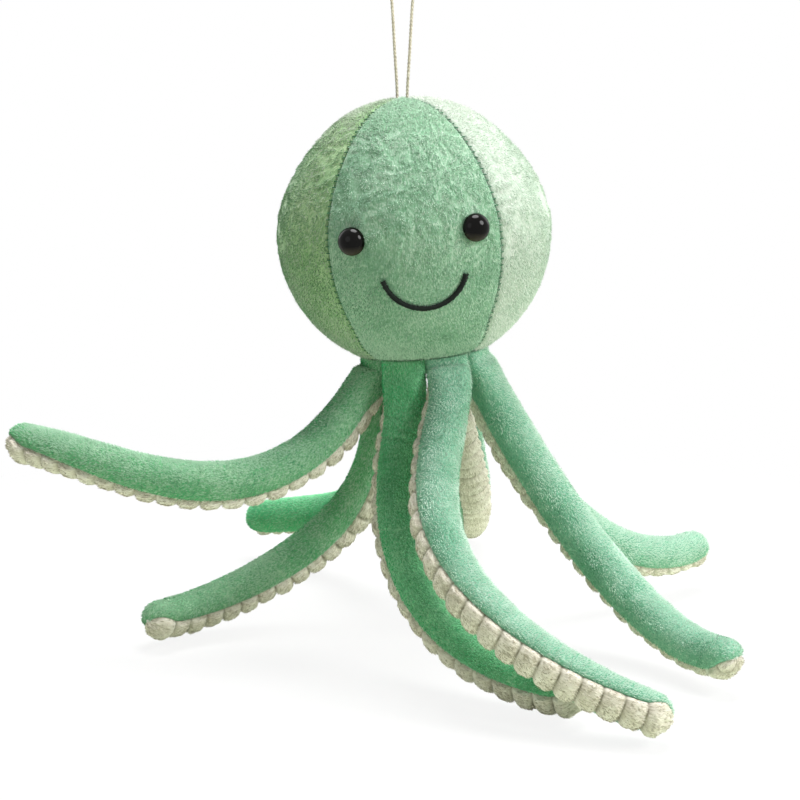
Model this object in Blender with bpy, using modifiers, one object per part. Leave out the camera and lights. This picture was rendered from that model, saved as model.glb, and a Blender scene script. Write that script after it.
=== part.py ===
"""A stuffed plush octopus that hangs on a string loop.

The origin is the top of the loop, where a hook holds it, and +Z is up. The face looks
towards -Y. Lengths are in metres and angles in degrees.
"""

import math

import bmesh
import bpy
import numpy as np
from mathutils import Matrix, Vector

# Head: four sewn gores over one ball of filling
HEAD_RADIUS = 0.0745
CROWN_SLOPE = 0.055
HEAD_TOP_HEIGHT = 0.0717
HEAD_TILT = 5.0
NECK_RADIUS = 0.0355
CROWN_HOLE_RADIUS = 0.0042
SEAM_AZIMUTH = 37.5
SEAM_AZIMUTH_AT_NECK = 46.0
SEAM_SPREAD_LATITUDE = -35.0
PLUSH_THICKNESS = 0.002
FILLING_INSET = 0.0035
FIT_GAP = 0.00035
GORE_SEAM_GAP = 0.0009
GORE_COLUMNS = 7
GORE_ROWS = 12
HEAD_STEPS = 20
HEAD_ROWS = 12

# Face: two safety eyes and an embroidered smile
EYE_RADIUS = 0.0073
EYE_HEIGHT = 0.0067
EYE_RIM = 0.0005
EYE_STEPS = 14
DOME_POINTS = 6
EYE_AZIMUTH = 25.2
EYE_LATITUDES = {"left": 3.5, "right": 4.8}
POST_RADIUS = 0.0022
POST_STEPS = 12
POST_LENGTH = 0.0110
WASHER_RADIUS = 0.0060
WASHER_THICKNESS = 0.0016
WASHER_DEPTH = 0.0038
SMILE_RADIUS = 0.0219
SMILE_SPAN = 151.0
SMILE_CENTRE_X = 0.0035
SMILE_CENTRE_Z = -0.0112
SMILE_WIDTH = 0.0030
SMILE_HEIGHT = 0.0011
SMILE_STEPS = 16
SMILE_OUTLINE = ((-0.5, 0.0), (-0.5, 0.45), (-0.2, 1.0), (0.2, 1.0), (0.5, 0.45), (0.5, 0.0))

# String loop, its knot in a well under the crown, and the disc between the arm roots
CORD_RADIUS = 0.0008
LOOP_HEIGHT = 0.072
CORD_STEP = 0.0038
CURVE_STEPS = 24
KNOT_RADIUS = 0.0047
KNOT_HEIGHT = 0.0065
KNOT_DEPTH = 0.0048
KNOT_SHAPE = ((0, 1), (0.81, 1), (1, 0.6), (1, -0.4), (0.7, -0.9), (0, -1))
KNOT_STEPS = 12
WELL_RADIUS = 0.0062
WELL_DEPTH = 0.0145
BASE_DISC_RADIUS = 0.018
BASE_DISC_BEVEL = 0.0005

# Arms: a plush panel and a ribbed underside sewn into a tube over a core of filling
ROOT_RING_RADIUS = 0.0285
HINGE_DROP = 0.0086
ROOT_HALF_WIDTH = 0.0108
ROOT_HALF_DEPTH = 0.0070
ROOT_LENGTH = 0.035
ARM_RADII = ((0.0, 0.0100), (0.035, 0.0119), (0.13, 0.0122), (0.20, 0.0110), (0.24, 0.0099))
ARM_WALL = 0.0018
CORE_INSET = 0.0038
UNDERSIDE_HALF_ANGLE = 58.0
UNDERSIDE_HALF_ANGLE_AT_TIP = 90.0
TIP_WRAP_LENGTH = 0.016
ARM_SEAM_GAP = 0.0006
RIB_PITCH = 0.011
RIB_CREST = 0.0012
RIB_VALLEY = -0.0008
RIB_SHARE_AT_SEAM = 0.6
CAP_STEPS = (0.45, 0.8, 0.955)
CORE_CAP_STEPS = (0.6, 0.94)
ANGLE_STEPS = 5
LINE_POINTS = 97
PANEL_POINTS = (9, 6)
UNDERSIDE_POINTS = (5, 4)
CORE_POINTS = 8
CORE_STATIONS = 13
PANEL_STEP = 0.011
AXIS_LENGTH = 0.02
SHARP_ANGLE = 50.0
MERGE_DISTANCE = 0.00005

# Each arm's root azimuth and length, then its dip below level, its heading and its twist,
# each at five even steps from root to tip. Azimuth and heading are 0 towards the face and
# 90 towards +X; a twist turns the underside about the arm.
ARMS = {
    "front_left": (-22.5, 0.233, (100, 62, 46, 20, 3), (-60, -7, 34, 56, 60), (90, 60, 28, 28, 32)),
    "front_right": (22.5, 0.255, (44, 47, 38, 26, 16), (14, -8, 38, 68, 87), (70, 66, 62, 68, 80)),
    "right_front": (67.5, 0.237, (63, 58, 48, 23, -22), (86, 83, 64, 42, 33), (-22, -22, -16, -10, -4)),
    "right_back": (112.5, 0.236, (66, 59, 43, 17, -4), (114, 115, 112, 124, 131), (0, 0, -4, -6, -6)),
    "back_right": (157.5, 0.238, (54, 51, 38, 30, 17), (160, 166, 173, 178, 179), (10, 20, 26, 28, 28)),
    "back_left": (-157.5, 0.236, (78, 60, 31, 14, 15), (-162, -161, -150, -134, -131), (0, 12, 30, 40, 40)),
    "left_back": (-112.5, 0.233, (107, 70, 41, 19, -12), (-112, -121, -91, -68, -33), (0, 0, -5, -20, -32)),
    "left_front": (-67.5, 0.237, (53, 32, -2, -12, -3), (-67, -70, -87, -108, -121), (-14, -4, 4, -14, -46)),
}

# The loop's route on its +X side, from the knot up to its top, as (x, z)
LOOP_ROUTE = (
    (0.0027, -LOOP_HEIGHT - KNOT_DEPTH + 0.0003),
    (0.0027, -LOOP_HEIGHT - 0.0015),
    (0.0029, -LOOP_HEIGHT + 0.006),
    (0.0040, -LOOP_HEIGHT + 0.024),
    (0.0051, -LOOP_HEIGHT + 0.044),
    (0.0062, -LOOP_HEIGHT + 0.060),
    (0.0049, -0.0043),
    (0.0, -CORD_RADIUS),
)

# sRGB colour, roughness, metallic
FINISHES = {
    "mint_plush": ((0.50, 0.72, 0.58), 0.95, 0.0),
    "cream_ribbed_plush": ((0.85, 0.82, 0.77), 0.95, 0.0),
    "polyester_filling": ((0.93, 0.93, 0.91), 1.0, 0.0),
    "black_eye_plastic": ((0.02, 0.02, 0.02), 0.08, 0.0),
    "washer_plastic": ((0.86, 0.87, 0.86), 0.40, 0.0),
    "smile_thread": ((0.11, 0.16, 0.12), 0.60, 0.0),
    "loop_cord": ((0.82, 0.77, 0.69), 0.80, 0.0),
}

NECK_DEPTH = math.sqrt(HEAD_RADIUS**2 - NECK_RADIUS**2)
TILT = Matrix.Rotation(math.radians(-HEAD_TILT), 4, "Y")
HEAD_CENTRE = Vector((0, 0, -LOOP_HEIGHT)) - TILT.to_3x3() @ Vector((0, 0, HEAD_TOP_HEIGHT))
HEAD_FRAME = Matrix.Translation(HEAD_CENTRE) @ TILT


def clear_scene():
    for obj in list(bpy.data.objects):
        bpy.data.objects.remove(obj, do_unlink=True)


def make_collection(name):
    collection = bpy.data.collections.new(name)
    bpy.context.scene.collection.children.link(collection)
    return collection


def linear(channel):
    """One sRGB channel as the linear value that a shader takes."""
    if channel <= 0.04045:
        return channel / 12.92
    return ((channel + 0.055) / 1.055) ** 2.4


def material(name):
    found = bpy.data.materials.get(name)
    if found:
        return found
    colour, roughness, metallic = FINISHES[name]
    made = bpy.data.materials.new(name)
    made.use_nodes = True
    shader = made.node_tree.nodes["Principled BSDF"]
    shader.inputs["Base Color"].default_value = (*(linear(c) for c in colour), 1)
    shader.inputs["Roughness"].default_value = roughness
    shader.inputs["Metallic"].default_value = metallic
    return made


def add_object(name, mesh, finish, collection, frame=Matrix(), parent=None):
    """An object of this mesh, placed by frame, in its parent's frame if it has one."""
    obj = bpy.data.objects.new(name, mesh)
    collection.objects.link(obj)
    obj.parent = parent
    obj.matrix_basis = frame
    if finish:
        mesh.materials.append(material(finish))
        mesh.shade_smooth()
        if hasattr(mesh, "set_sharp_from_angle"):
            mesh.set_sharp_from_angle(angle=math.radians(SHARP_ANGLE))
    return obj


def mesh_from(name, points, faces):
    mesh = bpy.data.meshes.new(name)
    mesh.from_pydata([tuple(p) for p in points], [], faces)
    mesh.validate()
    return mesh


def turned(name, profile, steps, finish, collection, frame=Matrix(), parent=None):
    """A solid turned about local Z, from (radius, height) points read top to bottom."""
    edges = [(i, i + 1) for i in range(len(profile) - 1)]
    mesh = bpy.data.meshes.new(name)
    mesh.from_pydata([(r, 0, z) for r, z in profile], edges, [])
    obj = add_object(name, mesh, None, collection, frame, parent)
    screw = obj.modifiers.new("turn", "SCREW")
    screw.steps = steps
    screw.render_steps = steps
    screw.use_merge_vertices = True
    screw.merge_threshold = MERGE_DISTANCE
    if finish:
        mesh.materials.append(material(finish))
        screw.use_smooth_shade = True
    return obj


def as_cutter(obj):
    obj.hide_render = True
    obj.display_type = "WIRE"
    return obj


def cut(obj, cutter):
    boolean = obj.modifiers.new("cut_" + cutter.name, "BOOLEAN")
    boolean.operation = "DIFFERENCE"
    boolean.object = cutter


def smoothstep(low, high, value):
    t = min(max((value - low) / (high - low), 0.0), 1.0)
    return t * t * (3 - 2 * t)


def head_point(azimuth, latitude, inset=0.0):
    """A point of the head's surface in the head's own frame."""
    a, b = math.radians(azimuth), math.radians(latitude)
    height = HEAD_TOP_HEIGHT if latitude > 0 else HEAD_RADIUS
    slope = 1 - CROWN_SLOPE * math.sin(2 * b) ** 2 if latitude > 0 else 1
    radius = (HEAD_RADIUS - inset) * math.cos(b) * slope
    return Vector((radius * math.sin(a), -radius * math.cos(a), (height - inset) * math.sin(b)))


def latitude_at_radius(radius, below):
    latitude = math.degrees(math.acos(radius / HEAD_RADIUS))
    return -latitude if below else latitude


def seam_azimuth(latitude):
    """The front seams run straight down the head and spread a little above the neck."""
    lowest = latitude_at_radius(NECK_RADIUS, True)
    spread = smoothstep(-SEAM_SPREAD_LATITUDE, -lowest, -latitude)
    return SEAM_AZIMUTH + (SEAM_AZIMUTH_AT_NECK - SEAM_AZIMUTH) * spread


def gore(name, side, parts, head):
    """One petal of the head cover. side counts quarter turns from the face towards +X."""
    top = latitude_at_radius(CROWN_HOLE_RADIUS, False)
    bottom = latitude_at_radius(NECK_RADIUS, True)
    form = bmesh.new()
    bmesh.ops.create_grid(form, x_segments=GORE_COLUMNS, y_segments=GORE_ROWS, size=1)
    for vertex in form.verts:
        across, up = vertex.co.x, (vertex.co.y + 1) / 2
        latitude = bottom + (top - bottom) * up
        half = seam_azimuth(latitude)
        if side % 2:
            half = 90 - half
        local_radius = HEAD_RADIUS * math.cos(math.radians(latitude))
        half -= math.degrees(GORE_SEAM_GAP / 2 / local_radius)
        vertex.co = head_point(90 * side + across * half, latitude)
    mesh = bpy.data.meshes.new(name)
    form.to_mesh(mesh)
    form.free()
    obj = add_object(name, mesh, "mint_plush", parts, parent=head)
    wall = obj.modifiers.new("plush", "SOLIDIFY")
    wall.thickness = PLUSH_THICKNESS
    wall.offset = -1
    return obj


def surface_frame(azimuth, latitude):
    """A frame on the head's surface whose Z points out of it."""
    point = head_point(azimuth, latitude)
    turn = point.to_track_quat("Z", "Y").to_matrix().to_4x4()
    return Matrix.Translation(point) @ turn


def eye_profile():
    """A dome with a small upright rim, and a plain post under it."""
    dome = []
    for a in np.radians(np.linspace(90, 0, DOME_POINTS)):
        dome.append((EYE_RADIUS * math.cos(a), EYE_RIM + (EYE_HEIGHT - EYE_RIM) * math.sin(a)))
    dome[0] = (0, EYE_HEIGHT)
    return dome + [
        (EYE_RADIUS - EYE_RIM, 0),
        (POST_RADIUS, 0),
        (POST_RADIUS, -POST_LENGTH),
        (0, -POST_LENGTH - POST_RADIUS / 2),
    ]


def washer_profile():
    top, bottom = -WASHER_DEPTH, -WASHER_DEPTH - WASHER_THICKNESS
    bore = POST_RADIUS + FIT_GAP
    return [(bore, top), (WASHER_RADIUS, top), (WASHER_RADIUS, bottom), (bore, bottom), (bore, top)]


def eye(side, parts, cutters, head, front_gore, filling):
    """A safety eye, its lock washer behind the gore, and the room that both need."""
    name = "left" if side < 0 else "right"
    frame = surface_frame(side * EYE_AZIMUTH, EYE_LATITUDES[name]) @ Matrix.Translation((0, 0, FIT_GAP))
    turned(name + "_eye", eye_profile(), EYE_STEPS, "black_eye_plastic", parts, frame, head)
    turned(name + "_eye_washer", washer_profile(), EYE_STEPS, "washer_plastic", parts, frame, head)
    wide = WASHER_RADIUS + 2 * FIT_GAP
    narrow = POST_RADIUS + 2 * FIT_GAP
    ledge = -WASHER_DEPTH - WASHER_THICKNESS - 2 * FIT_GAP
    deepest = -POST_LENGTH - POST_RADIUS
    post_hole = [(0, EYE_RIM), (narrow, EYE_RIM), (narrow, deepest), (0, deepest)]
    hole = as_cutter(turned(name + "_post_hole", post_hole, POST_STEPS, None, cutters, frame, head))
    pocket_lines = [(0, 0), (wide, 0), (wide, ledge), (narrow, ledge), (narrow, deepest), (0, deepest)]
    pocket = as_cutter(turned(name + "_washer_pocket", pocket_lines, EYE_STEPS, None, cutters, frame, head))
    cut(front_gore, hole)
    cut(filling, pocket)


def smile(parts, head):
    """A raised satin-stitch band on the front gore, flat underneath and rounded on top."""
    rings = []
    for i in range(SMILE_STEPS + 1):
        a = math.radians(-90 + SMILE_SPAN * (i / SMILE_STEPS - 0.5))
        ring = []
        for across, up in SMILE_OUTLINE:
            radius = SMILE_RADIUS + across * SMILE_WIDTH
            x = SMILE_CENTRE_X + radius * math.cos(a)
            z = SMILE_CENTRE_Z + radius * math.sin(a)
            surface = HEAD_RADIUS + FIT_GAP + up * SMILE_HEIGHT
            ring.append(Vector((x, -math.sqrt(surface**2 - x * x - z * z), z)))
        rings.append(ring)
    mesh = loft_mesh("smile_embroidery", rings)
    return add_object("smile_embroidery", mesh, "smile_thread", parts, parent=head)


def loft_mesh(name, rings):
    """Closed rings of equal count joined in order, with a flat face over each end."""
    count = len(rings[0])
    points = [p for ring in rings for p in ring]
    faces = [tuple(range(count)), tuple(range(len(points) - 1, len(points) - count - 1, -1))]
    for r in range(len(rings) - 1):
        for i in range(count):
            j = (i + 1) % count
            faces.append((r * count + i, (r + 1) * count + i, (r + 1) * count + j, r * count + j))
    mesh = mesh_from(name, points, faces)
    outwards(mesh)
    return mesh


def outwards(mesh):
    form = bmesh.new()
    form.from_mesh(mesh)
    bmesh.ops.recalc_face_normals(form, faces=form.faces)
    form.to_mesh(mesh)
    form.free()


def smooth_route(points, step):
    """Points a step apart on a Catmull-Rom curve through these ones."""
    points = np.array(points, float)
    padded = np.vstack([2 * points[0] - points[1], points, 2 * points[-1] - points[-2]])
    fine = []
    for a, b, c, d in zip(padded, padded[1:], padded[2:], padded[3:]):
        for t in np.linspace(0, 1, CURVE_STEPS, endpoint=False):
            fine.append(0.5 * (2 * b + (c - a) * t + (2 * a - 5 * b + 4 * c - d) * t**2
                               + (3 * b - a - 3 * c + d) * t**3))
    fine = np.array(fine + [points[-1]])
    travelled = np.concatenate([[0], np.cumsum(np.linalg.norm(np.diff(fine, axis=0), axis=1))])
    marks = np.linspace(0, travelled[-1], round(travelled[-1] / step) + 1)
    return np.stack([np.interp(marks, travelled, fine[:, k]) for k in range(3)], axis=1)


def string_loop(parts):
    """One cord up from the knot, round the top and back down."""
    right = [(x, 0, z) for x, z in LOOP_ROUTE]
    left = [(-x, 0, z) for x, z in reversed(LOOP_ROUTE[:-1])]
    route = smooth_route(right + left, CORD_STEP)
    curve = bpy.data.curves.new("hanging_loop", "CURVE")
    curve.dimensions = "3D"
    curve.bevel_depth = CORD_RADIUS
    curve.bevel_resolution = 2
    curve.use_fill_caps = True
    spline = curve.splines.new("POLY")
    spline.points.add(len(route) - 1)
    for point, place in zip(spline.points, route):
        point.co = (*place, 1)
    curve.materials.append(material("loop_cord"))
    obj = bpy.data.objects.new("hanging_loop", curve)
    parts.objects.link(obj)
    return obj


def loop_knot(parts):
    """The knot that both ends of the cord are tied in, too wide for the crown's hole."""
    half = KNOT_HEIGHT / 2
    profile = [(KNOT_RADIUS * out, half * up) for out, up in KNOT_SHAPE]
    frame = Matrix.Translation((0, 0, -LOOP_HEIGHT - KNOT_DEPTH - half))
    return turned("loop_knot", profile, KNOT_STEPS, "loop_cord", parts, frame)


def head_filling(parts, head):
    """The ball of filling, with a well at the crown for the knot and a flat neck."""
    inset = FILLING_INSET
    top = math.degrees(math.acos(WELL_RADIUS / (HEAD_RADIUS - inset)))
    bottom = -math.degrees(math.asin((NECK_DEPTH - FIT_GAP) / (HEAD_RADIUS - inset)))
    profile = [(0, HEAD_TOP_HEIGHT - WELL_DEPTH), (WELL_RADIUS, HEAD_TOP_HEIGHT - WELL_DEPTH)]
    for latitude in np.linspace(top, bottom, HEAD_ROWS):
        point = head_point(90, latitude, inset)
        profile.append((point.x, point.z))
    profile.append((0, -NECK_DEPTH + FIT_GAP))
    return turned("head_filling", profile, HEAD_STEPS, "polyester_filling", parts, parent=head)


def base_disc(parts, head):
    """The plush disc that closes the neck inside the ring of arm roots."""
    thickness = PLUSH_THICKNESS
    profile = [(0, 0), (BASE_DISC_RADIUS - BASE_DISC_BEVEL, 0), (BASE_DISC_RADIUS, -BASE_DISC_BEVEL)]
    profile += [(BASE_DISC_RADIUS, -thickness), (0, -thickness)]
    frame = Matrix.Translation((0, 0, -NECK_DEPTH))
    return turned("base_disc", profile, HEAD_STEPS, "mint_plush", parts, frame, head)


class ArmShape:
    """The centre line and the cross sections of one arm, from its root hinge to its tip."""

    def __init__(self, azimuth, length, dips, headings, twists):
        a = math.radians(azimuth)
        outward = TILT.to_3x3() @ Vector((math.sin(a), -math.cos(a), 0))
        self.axis = TILT.to_3x3() @ Vector((math.cos(a), math.sin(a), 0))
        root = Vector((0, 0, -NECK_DEPTH - HINGE_DROP))
        self.hinge = HEAD_CENTRE + TILT.to_3x3() @ root + outward * ROOT_RING_RADIUS
        self.length = length
        steps = np.linspace(0, 1, ANGLE_STEPS)
        self.fits = [np.polyfit(steps, np.radians(v), ANGLE_STEPS - 1) for v in (dips, headings, twists)]
        self.marks = np.linspace(0, length, LINE_POINTS)
        tangents = np.array([self.tangent(s) for s in self.marks])
        middles = (tangents[1:] + tangents[:-1]) / 2 * np.diff(self.marks)[:, None]
        self.line = np.vstack([np.zeros(3), np.cumsum(middles, axis=0)])

    def angles(self, s):
        return [np.polyval(fit, min(max(s / self.length, 0), 1)) for fit in self.fits]

    def tangent(self, s):
        dip, heading, _ = self.angles(s)
        level = math.cos(dip)
        return Vector((level * math.sin(heading), -level * math.cos(heading), -math.sin(dip)))

    def place(self, s):
        return Vector([np.interp(s, self.marks, self.line[:, k]) for k in range(3)])

    def directions(self, s):
        """The way the middle of the plush panel faces, and the way across it."""
        dip, heading, twist = self.angles(s)
        steep = math.sin(dip)
        upper = Vector((steep * math.sin(heading), -steep * math.cos(heading), math.cos(dip)))
        side = self.tangent(s).cross(upper)
        middle = upper * math.cos(twist) - side * math.sin(twist)
        return middle, self.tangent(s).cross(middle)

    def reach(self, s, way):
        """The half thickness towards a direction: flattened at the root, round beyond it."""
        distances, radii = zip(*ARM_RADII)
        round_radius = np.interp(s * distances[-1] / self.length, distances, radii)
        along = min(abs(way.dot(self.axis)), 1)
        flat = 1 / math.sqrt((along / ROOT_HALF_WIDTH) ** 2 + (1 - along**2) / ROOT_HALF_DEPTH**2)
        return flat + (round_radius - flat) * smoothstep(0, ROOT_LENGTH, s)

    def ring(self, s, cap, angles, inset, swell=None):
        """Points at these angles from the panel's middle. cap runs from -1 at the root's
        rounded end to 1 at the tip's, and is 0 between them."""
        middle, side = self.directions(s)
        end_size = (ROOT_HALF_DEPTH if cap < 0 else self.reach(s, middle)) - inset
        centre = self.place(s) + self.tangent(s) * (end_size * cap)
        shrink = math.sqrt(1 - cap * cap)
        ring = []
        for i, angle in enumerate(angles):
            way = middle * math.cos(angle) + side * math.sin(angle)
            radius = self.reach(s, way) - inset + (swell[i] if swell else 0)
            ring.append(centre + way * (radius * shrink))
        return ring

    def tip_start(self):
        return self.length - ARM_RADII[-1][1]

    def half_angle(self, s, cap):
        """Half the angle that the underside spans. It wraps round to the tip's end."""
        reached = s + max(cap, 0) * ARM_RADII[-1][1]
        wrap = smoothstep(self.length - TIP_WRAP_LENGTH, self.length, reached)
        spread = UNDERSIDE_HALF_ANGLE_AT_TIP - UNDERSIDE_HALF_ANGLE
        return math.radians(UNDERSIDE_HALF_ANGLE + spread * wrap)


def stations(arm, step):
    """(distance, cap) pairs from the root end to the tip end."""
    count = round(arm.tip_start() / step)
    body = [(s, 0.0) for s in np.linspace(0, arm.tip_start(), count + 1)]
    return [(0.0, -CAP_STEPS[0])] + body + [(arm.tip_start(), cap) for cap in CAP_STEPS]


def zipped(first, second):
    """Triangles across the strip between two rows of indices."""
    faces, i, j = [], 0, 0
    while i < len(first) - 1 or j < len(second) - 1:
        if (i + 1) * (len(second) - 1) <= (j + 1) * (len(first) - 1):
            faces.append((first[i], first[i + 1], second[j]))
            i += 1
        else:
            faces.append((first[i], second[j + 1], second[j]))
            j += 1
    return faces


def fabric_strip(name, arm, counts, step, half_span, centre, rib):
    """A length of fabric with its wall, from one row of stations to the next."""
    points, faces, rows = [], [], []
    for index, (s, cap) in enumerate(stations(arm, step)):
        half = half_span(s, cap) - ARM_SEAM_GAP / 2 / ARM_RADII[1][1]
        outer = centre + np.linspace(-half, half, counts[0])
        inner = centre + np.linspace(half, -half, counts[1])
        swell = None
        if rib and cap <= 0:
            height = (RIB_CREST if index % 2 else RIB_VALLEY) * smoothstep(0, ROOT_LENGTH, s)
            bulge = [math.cos((a - centre) / half * math.pi / 2) for a in outer]
            swell = [height * (RIB_SHARE_AT_SEAM + (1 - RIB_SHARE_AT_SEAM) * b) for b in bulge]
        ring = arm.ring(s, cap, outer, 0, swell) + arm.ring(s, cap, inner, ARM_WALL)
        rows.append(range(len(points), len(points) + len(ring)))
        points += ring
    for near, far in zip(rows, rows[1:]):
        for i in range(len(near)):
            j = (i + 1) % len(near)
            faces.append((near[i], far[i], far[j], near[j]))
    for row in (rows[0], rows[-1]):
        faces += zipped(list(row[: counts[0]]), list(reversed(row[counts[0]:])))
    mesh = mesh_from(name, points, faces)
    outwards(mesh)
    return mesh


def core_mesh(name, arm):
    """The filling of an arm, closed and rounded at both ends."""
    angles = np.linspace(0, 2 * math.pi, CORE_POINTS, endpoint=False)
    body = np.linspace(0, arm.tip_start(), CORE_STATIONS)
    runs = [(0.0, -cap) for cap in reversed(CORE_CAP_STEPS)] + [(s, 0.0) for s in body]
    runs += [(arm.tip_start(), cap) for cap in CORE_CAP_STEPS]
    return loft_mesh(name, [arm.ring(s, cap, angles, CORE_INSET) for s, cap in runs])


def add_arm(name, arm, parts, guides):
    """The three sewn and filled pieces of an arm, on an empty at its hinge axis."""
    hinge = bpy.data.objects.new(name + "_hinge", None)
    guides.objects.link(hinge)
    hinge.location = arm.hinge
    hinge.empty_display_size = AXIS_LENGTH

    def panel_span(s, cap):
        return math.pi - arm.half_angle(s, cap)

    panel = fabric_strip(name + "_arm_plush", arm, PANEL_POINTS, PANEL_STEP, panel_span, 0.0, False)
    underside = fabric_strip(
        name + "_arm_underside", arm, UNDERSIDE_POINTS, RIB_PITCH / 2, arm.half_angle, math.pi, True
    )
    core = core_mesh(name + "_arm_filling", arm)
    add_object(panel.name, panel, "mint_plush", parts, parent=hinge)
    add_object(underside.name, underside, "cream_ribbed_plush", parts, parent=hinge)
    add_object(core.name, core, "polyester_filling", parts, parent=hinge)


def main():
    clear_scene()
    parts = make_collection("plush_octopus")
    cutters = make_collection("cutters")
    guides = make_collection("guides")

    head = bpy.data.objects.new("head_frame", None)
    guides.objects.link(head)
    head.matrix_world = HEAD_FRAME
    names = ("front_gore", "right_gore", "back_gore", "left_gore")
    gores = [gore(name, side, parts, head) for side, name in enumerate(names)]
    filling = head_filling(parts, head)
    for side in (-1, 1):
        eye(side, parts, cutters, head, gores[0], filling)
    smile(parts, head)
    base_disc(parts, head)
    string_loop(parts)
    loop_knot(parts)

    for name, values in ARMS.items():
        arm = ArmShape(*values)
        add_arm(name, arm, parts, guides)
        print(name, "hinge", [round(v, 5) for v in arm.hinge], "axis", [round(v, 5) for v in arm.axis])


main()
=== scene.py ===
import math

import bpy
import numpy as np
from mathutils import Matrix, Vector, noise


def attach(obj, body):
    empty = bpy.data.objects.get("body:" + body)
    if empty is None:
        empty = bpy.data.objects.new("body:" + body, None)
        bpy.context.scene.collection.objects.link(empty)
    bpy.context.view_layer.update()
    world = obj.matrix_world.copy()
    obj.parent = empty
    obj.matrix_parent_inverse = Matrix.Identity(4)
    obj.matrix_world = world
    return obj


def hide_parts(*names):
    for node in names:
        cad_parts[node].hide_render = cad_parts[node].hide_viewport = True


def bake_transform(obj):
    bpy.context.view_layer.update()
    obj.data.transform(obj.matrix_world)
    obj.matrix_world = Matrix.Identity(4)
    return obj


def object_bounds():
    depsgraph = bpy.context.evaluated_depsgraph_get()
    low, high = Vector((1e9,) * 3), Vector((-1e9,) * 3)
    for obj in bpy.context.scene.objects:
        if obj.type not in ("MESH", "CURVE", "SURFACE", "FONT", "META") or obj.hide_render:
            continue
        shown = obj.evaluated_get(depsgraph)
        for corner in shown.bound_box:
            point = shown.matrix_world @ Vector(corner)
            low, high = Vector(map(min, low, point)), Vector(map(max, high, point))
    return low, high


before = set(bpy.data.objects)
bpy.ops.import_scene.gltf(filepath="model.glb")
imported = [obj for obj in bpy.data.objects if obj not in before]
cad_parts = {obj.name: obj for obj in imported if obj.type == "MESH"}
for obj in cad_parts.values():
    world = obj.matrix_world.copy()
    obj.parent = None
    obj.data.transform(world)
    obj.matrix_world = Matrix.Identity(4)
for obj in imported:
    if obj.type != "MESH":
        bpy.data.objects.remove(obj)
cad_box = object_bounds()
scene = bpy.context.scene

# Camera
# A long lens almost level with the head looks down at the arms. The string leaves the
# picture at its top edge.
CAMERA_PLACE = (-0.0012, -0.98, -0.0364)
CAMERA_PITCH = 78.4

camera = bpy.data.cameras.new("studio_camera")
camera.lens = 81.3
camera.sensor_width = 36
camera_object = bpy.data.objects.new("studio_camera", camera)
camera_object.location = CAMERA_PLACE
camera_object.rotation_euler = (math.radians(CAMERA_PITCH), 0, 0)
scene.collection.objects.link(camera_object)
scene.camera = camera_object

# String loop
# One length of thin two-ply cotton cord, doubled and tied in a knot under the crown. It
# runs out through the crown's hole, up to the hook and back.
LOOP_HEIGHT = 0.072
KNOT_DEPTH = 0.0048
CORD_RADIUS = 0.0009
PLY_RADIUS = 0.00064
PLY_LAY = 0.0040
PLY_SIDES = 7
CORD_STEP = 0.0004
LOOP_ROUTE = (
    (0.0027, -LOOP_HEIGHT - KNOT_DEPTH + 0.0003),
    (0.0027, -LOOP_HEIGHT - 0.0015),
    (0.0029, -LOOP_HEIGHT + 0.006),
    (0.0040, -LOOP_HEIGHT + 0.024),
    (0.0051, -LOOP_HEIGHT + 0.044),
    (0.0062, -LOOP_HEIGHT + 0.060),
    (0.0049, -0.0043),
    (0.0, -CORD_RADIUS),
)


def refine(grid, times):
    """Catmull-Rom points between the rows of an array, this many to a step."""
    padded = np.concatenate([[2 * grid[0] - grid[1]], grid, [2 * grid[-1] - grid[-2]]])
    a, b, c, d = padded[:-3], padded[1:-2], padded[2:-1], padded[3:]
    steps = []
    for t in np.arange(times) / times:
        steps.append(0.5 * (2 * b + (c - a) * t + (2 * a - 5 * b + 4 * c - d) * t**2
                            + (3 * b - a - 3 * c + d) * t**3))
    fine = np.stack(steps, axis=1).reshape(-1, *grid.shape[1:])
    return np.concatenate([fine, grid[-1:]])


def travelled(grid, axis=0):
    """How far each point of an array is along its row, from the row's first point."""
    steps = np.linalg.norm(np.diff(grid, axis=axis), axis=-1)
    start = np.zeros_like(np.take(steps, [0], axis=axis))
    return np.concatenate([start, np.cumsum(steps, axis=axis)], axis=axis)


def points_at(marks, distances, line):
    """Points of a line, or other vectors kept along it, at these distances."""
    return np.stack([np.interp(marks, distances, line[:, k]) for k in range(3)], axis=-1)


def linear(code):
    """An sRGB hex colour as the linear RGBA that a shader takes."""
    found = []
    for i in (1, 3, 5):
        channel = int(code[i:i + 2], 16) / 255
        found.append(channel / 12.92 if channel <= 0.04045 else ((channel + 0.055) / 1.055) ** 2.4)
    return (*found, 1.0)


def feed(tree, node, inputs):
    """Sets a node's inputs to values, or links them to sockets or to the first output of nodes."""
    for key, value in inputs.items() if isinstance(inputs, dict) else enumerate(inputs):
        if isinstance(value, bpy.types.Node):
            value = value.outputs[0]
        if isinstance(value, bpy.types.NodeSocket):
            tree.links.new(value, node.inputs[key])
        else:
            node.inputs[key].default_value = value


def add(tree, kind, inputs=(), stops=(), **settings):
    """A node with these settings and ramp colours, and these inputs."""
    node = tree.nodes.new(kind)
    for name, value in settings.items():
        setattr(node, name, value)
    for number, (place, code) in enumerate(stops):
        if number > 1:
            node.color_ramp.elements.new(1.0)
        node.color_ramp.elements[number].position = place
        node.color_ramp.elements[number].color = linear(code)
    feed(tree, node, inputs)
    return node


def new_material(name):
    made = bpy.data.materials.new(name)
    made.use_nodes = True
    return made, made.node_tree, made.node_tree.nodes["Principled BSDF"]


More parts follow.
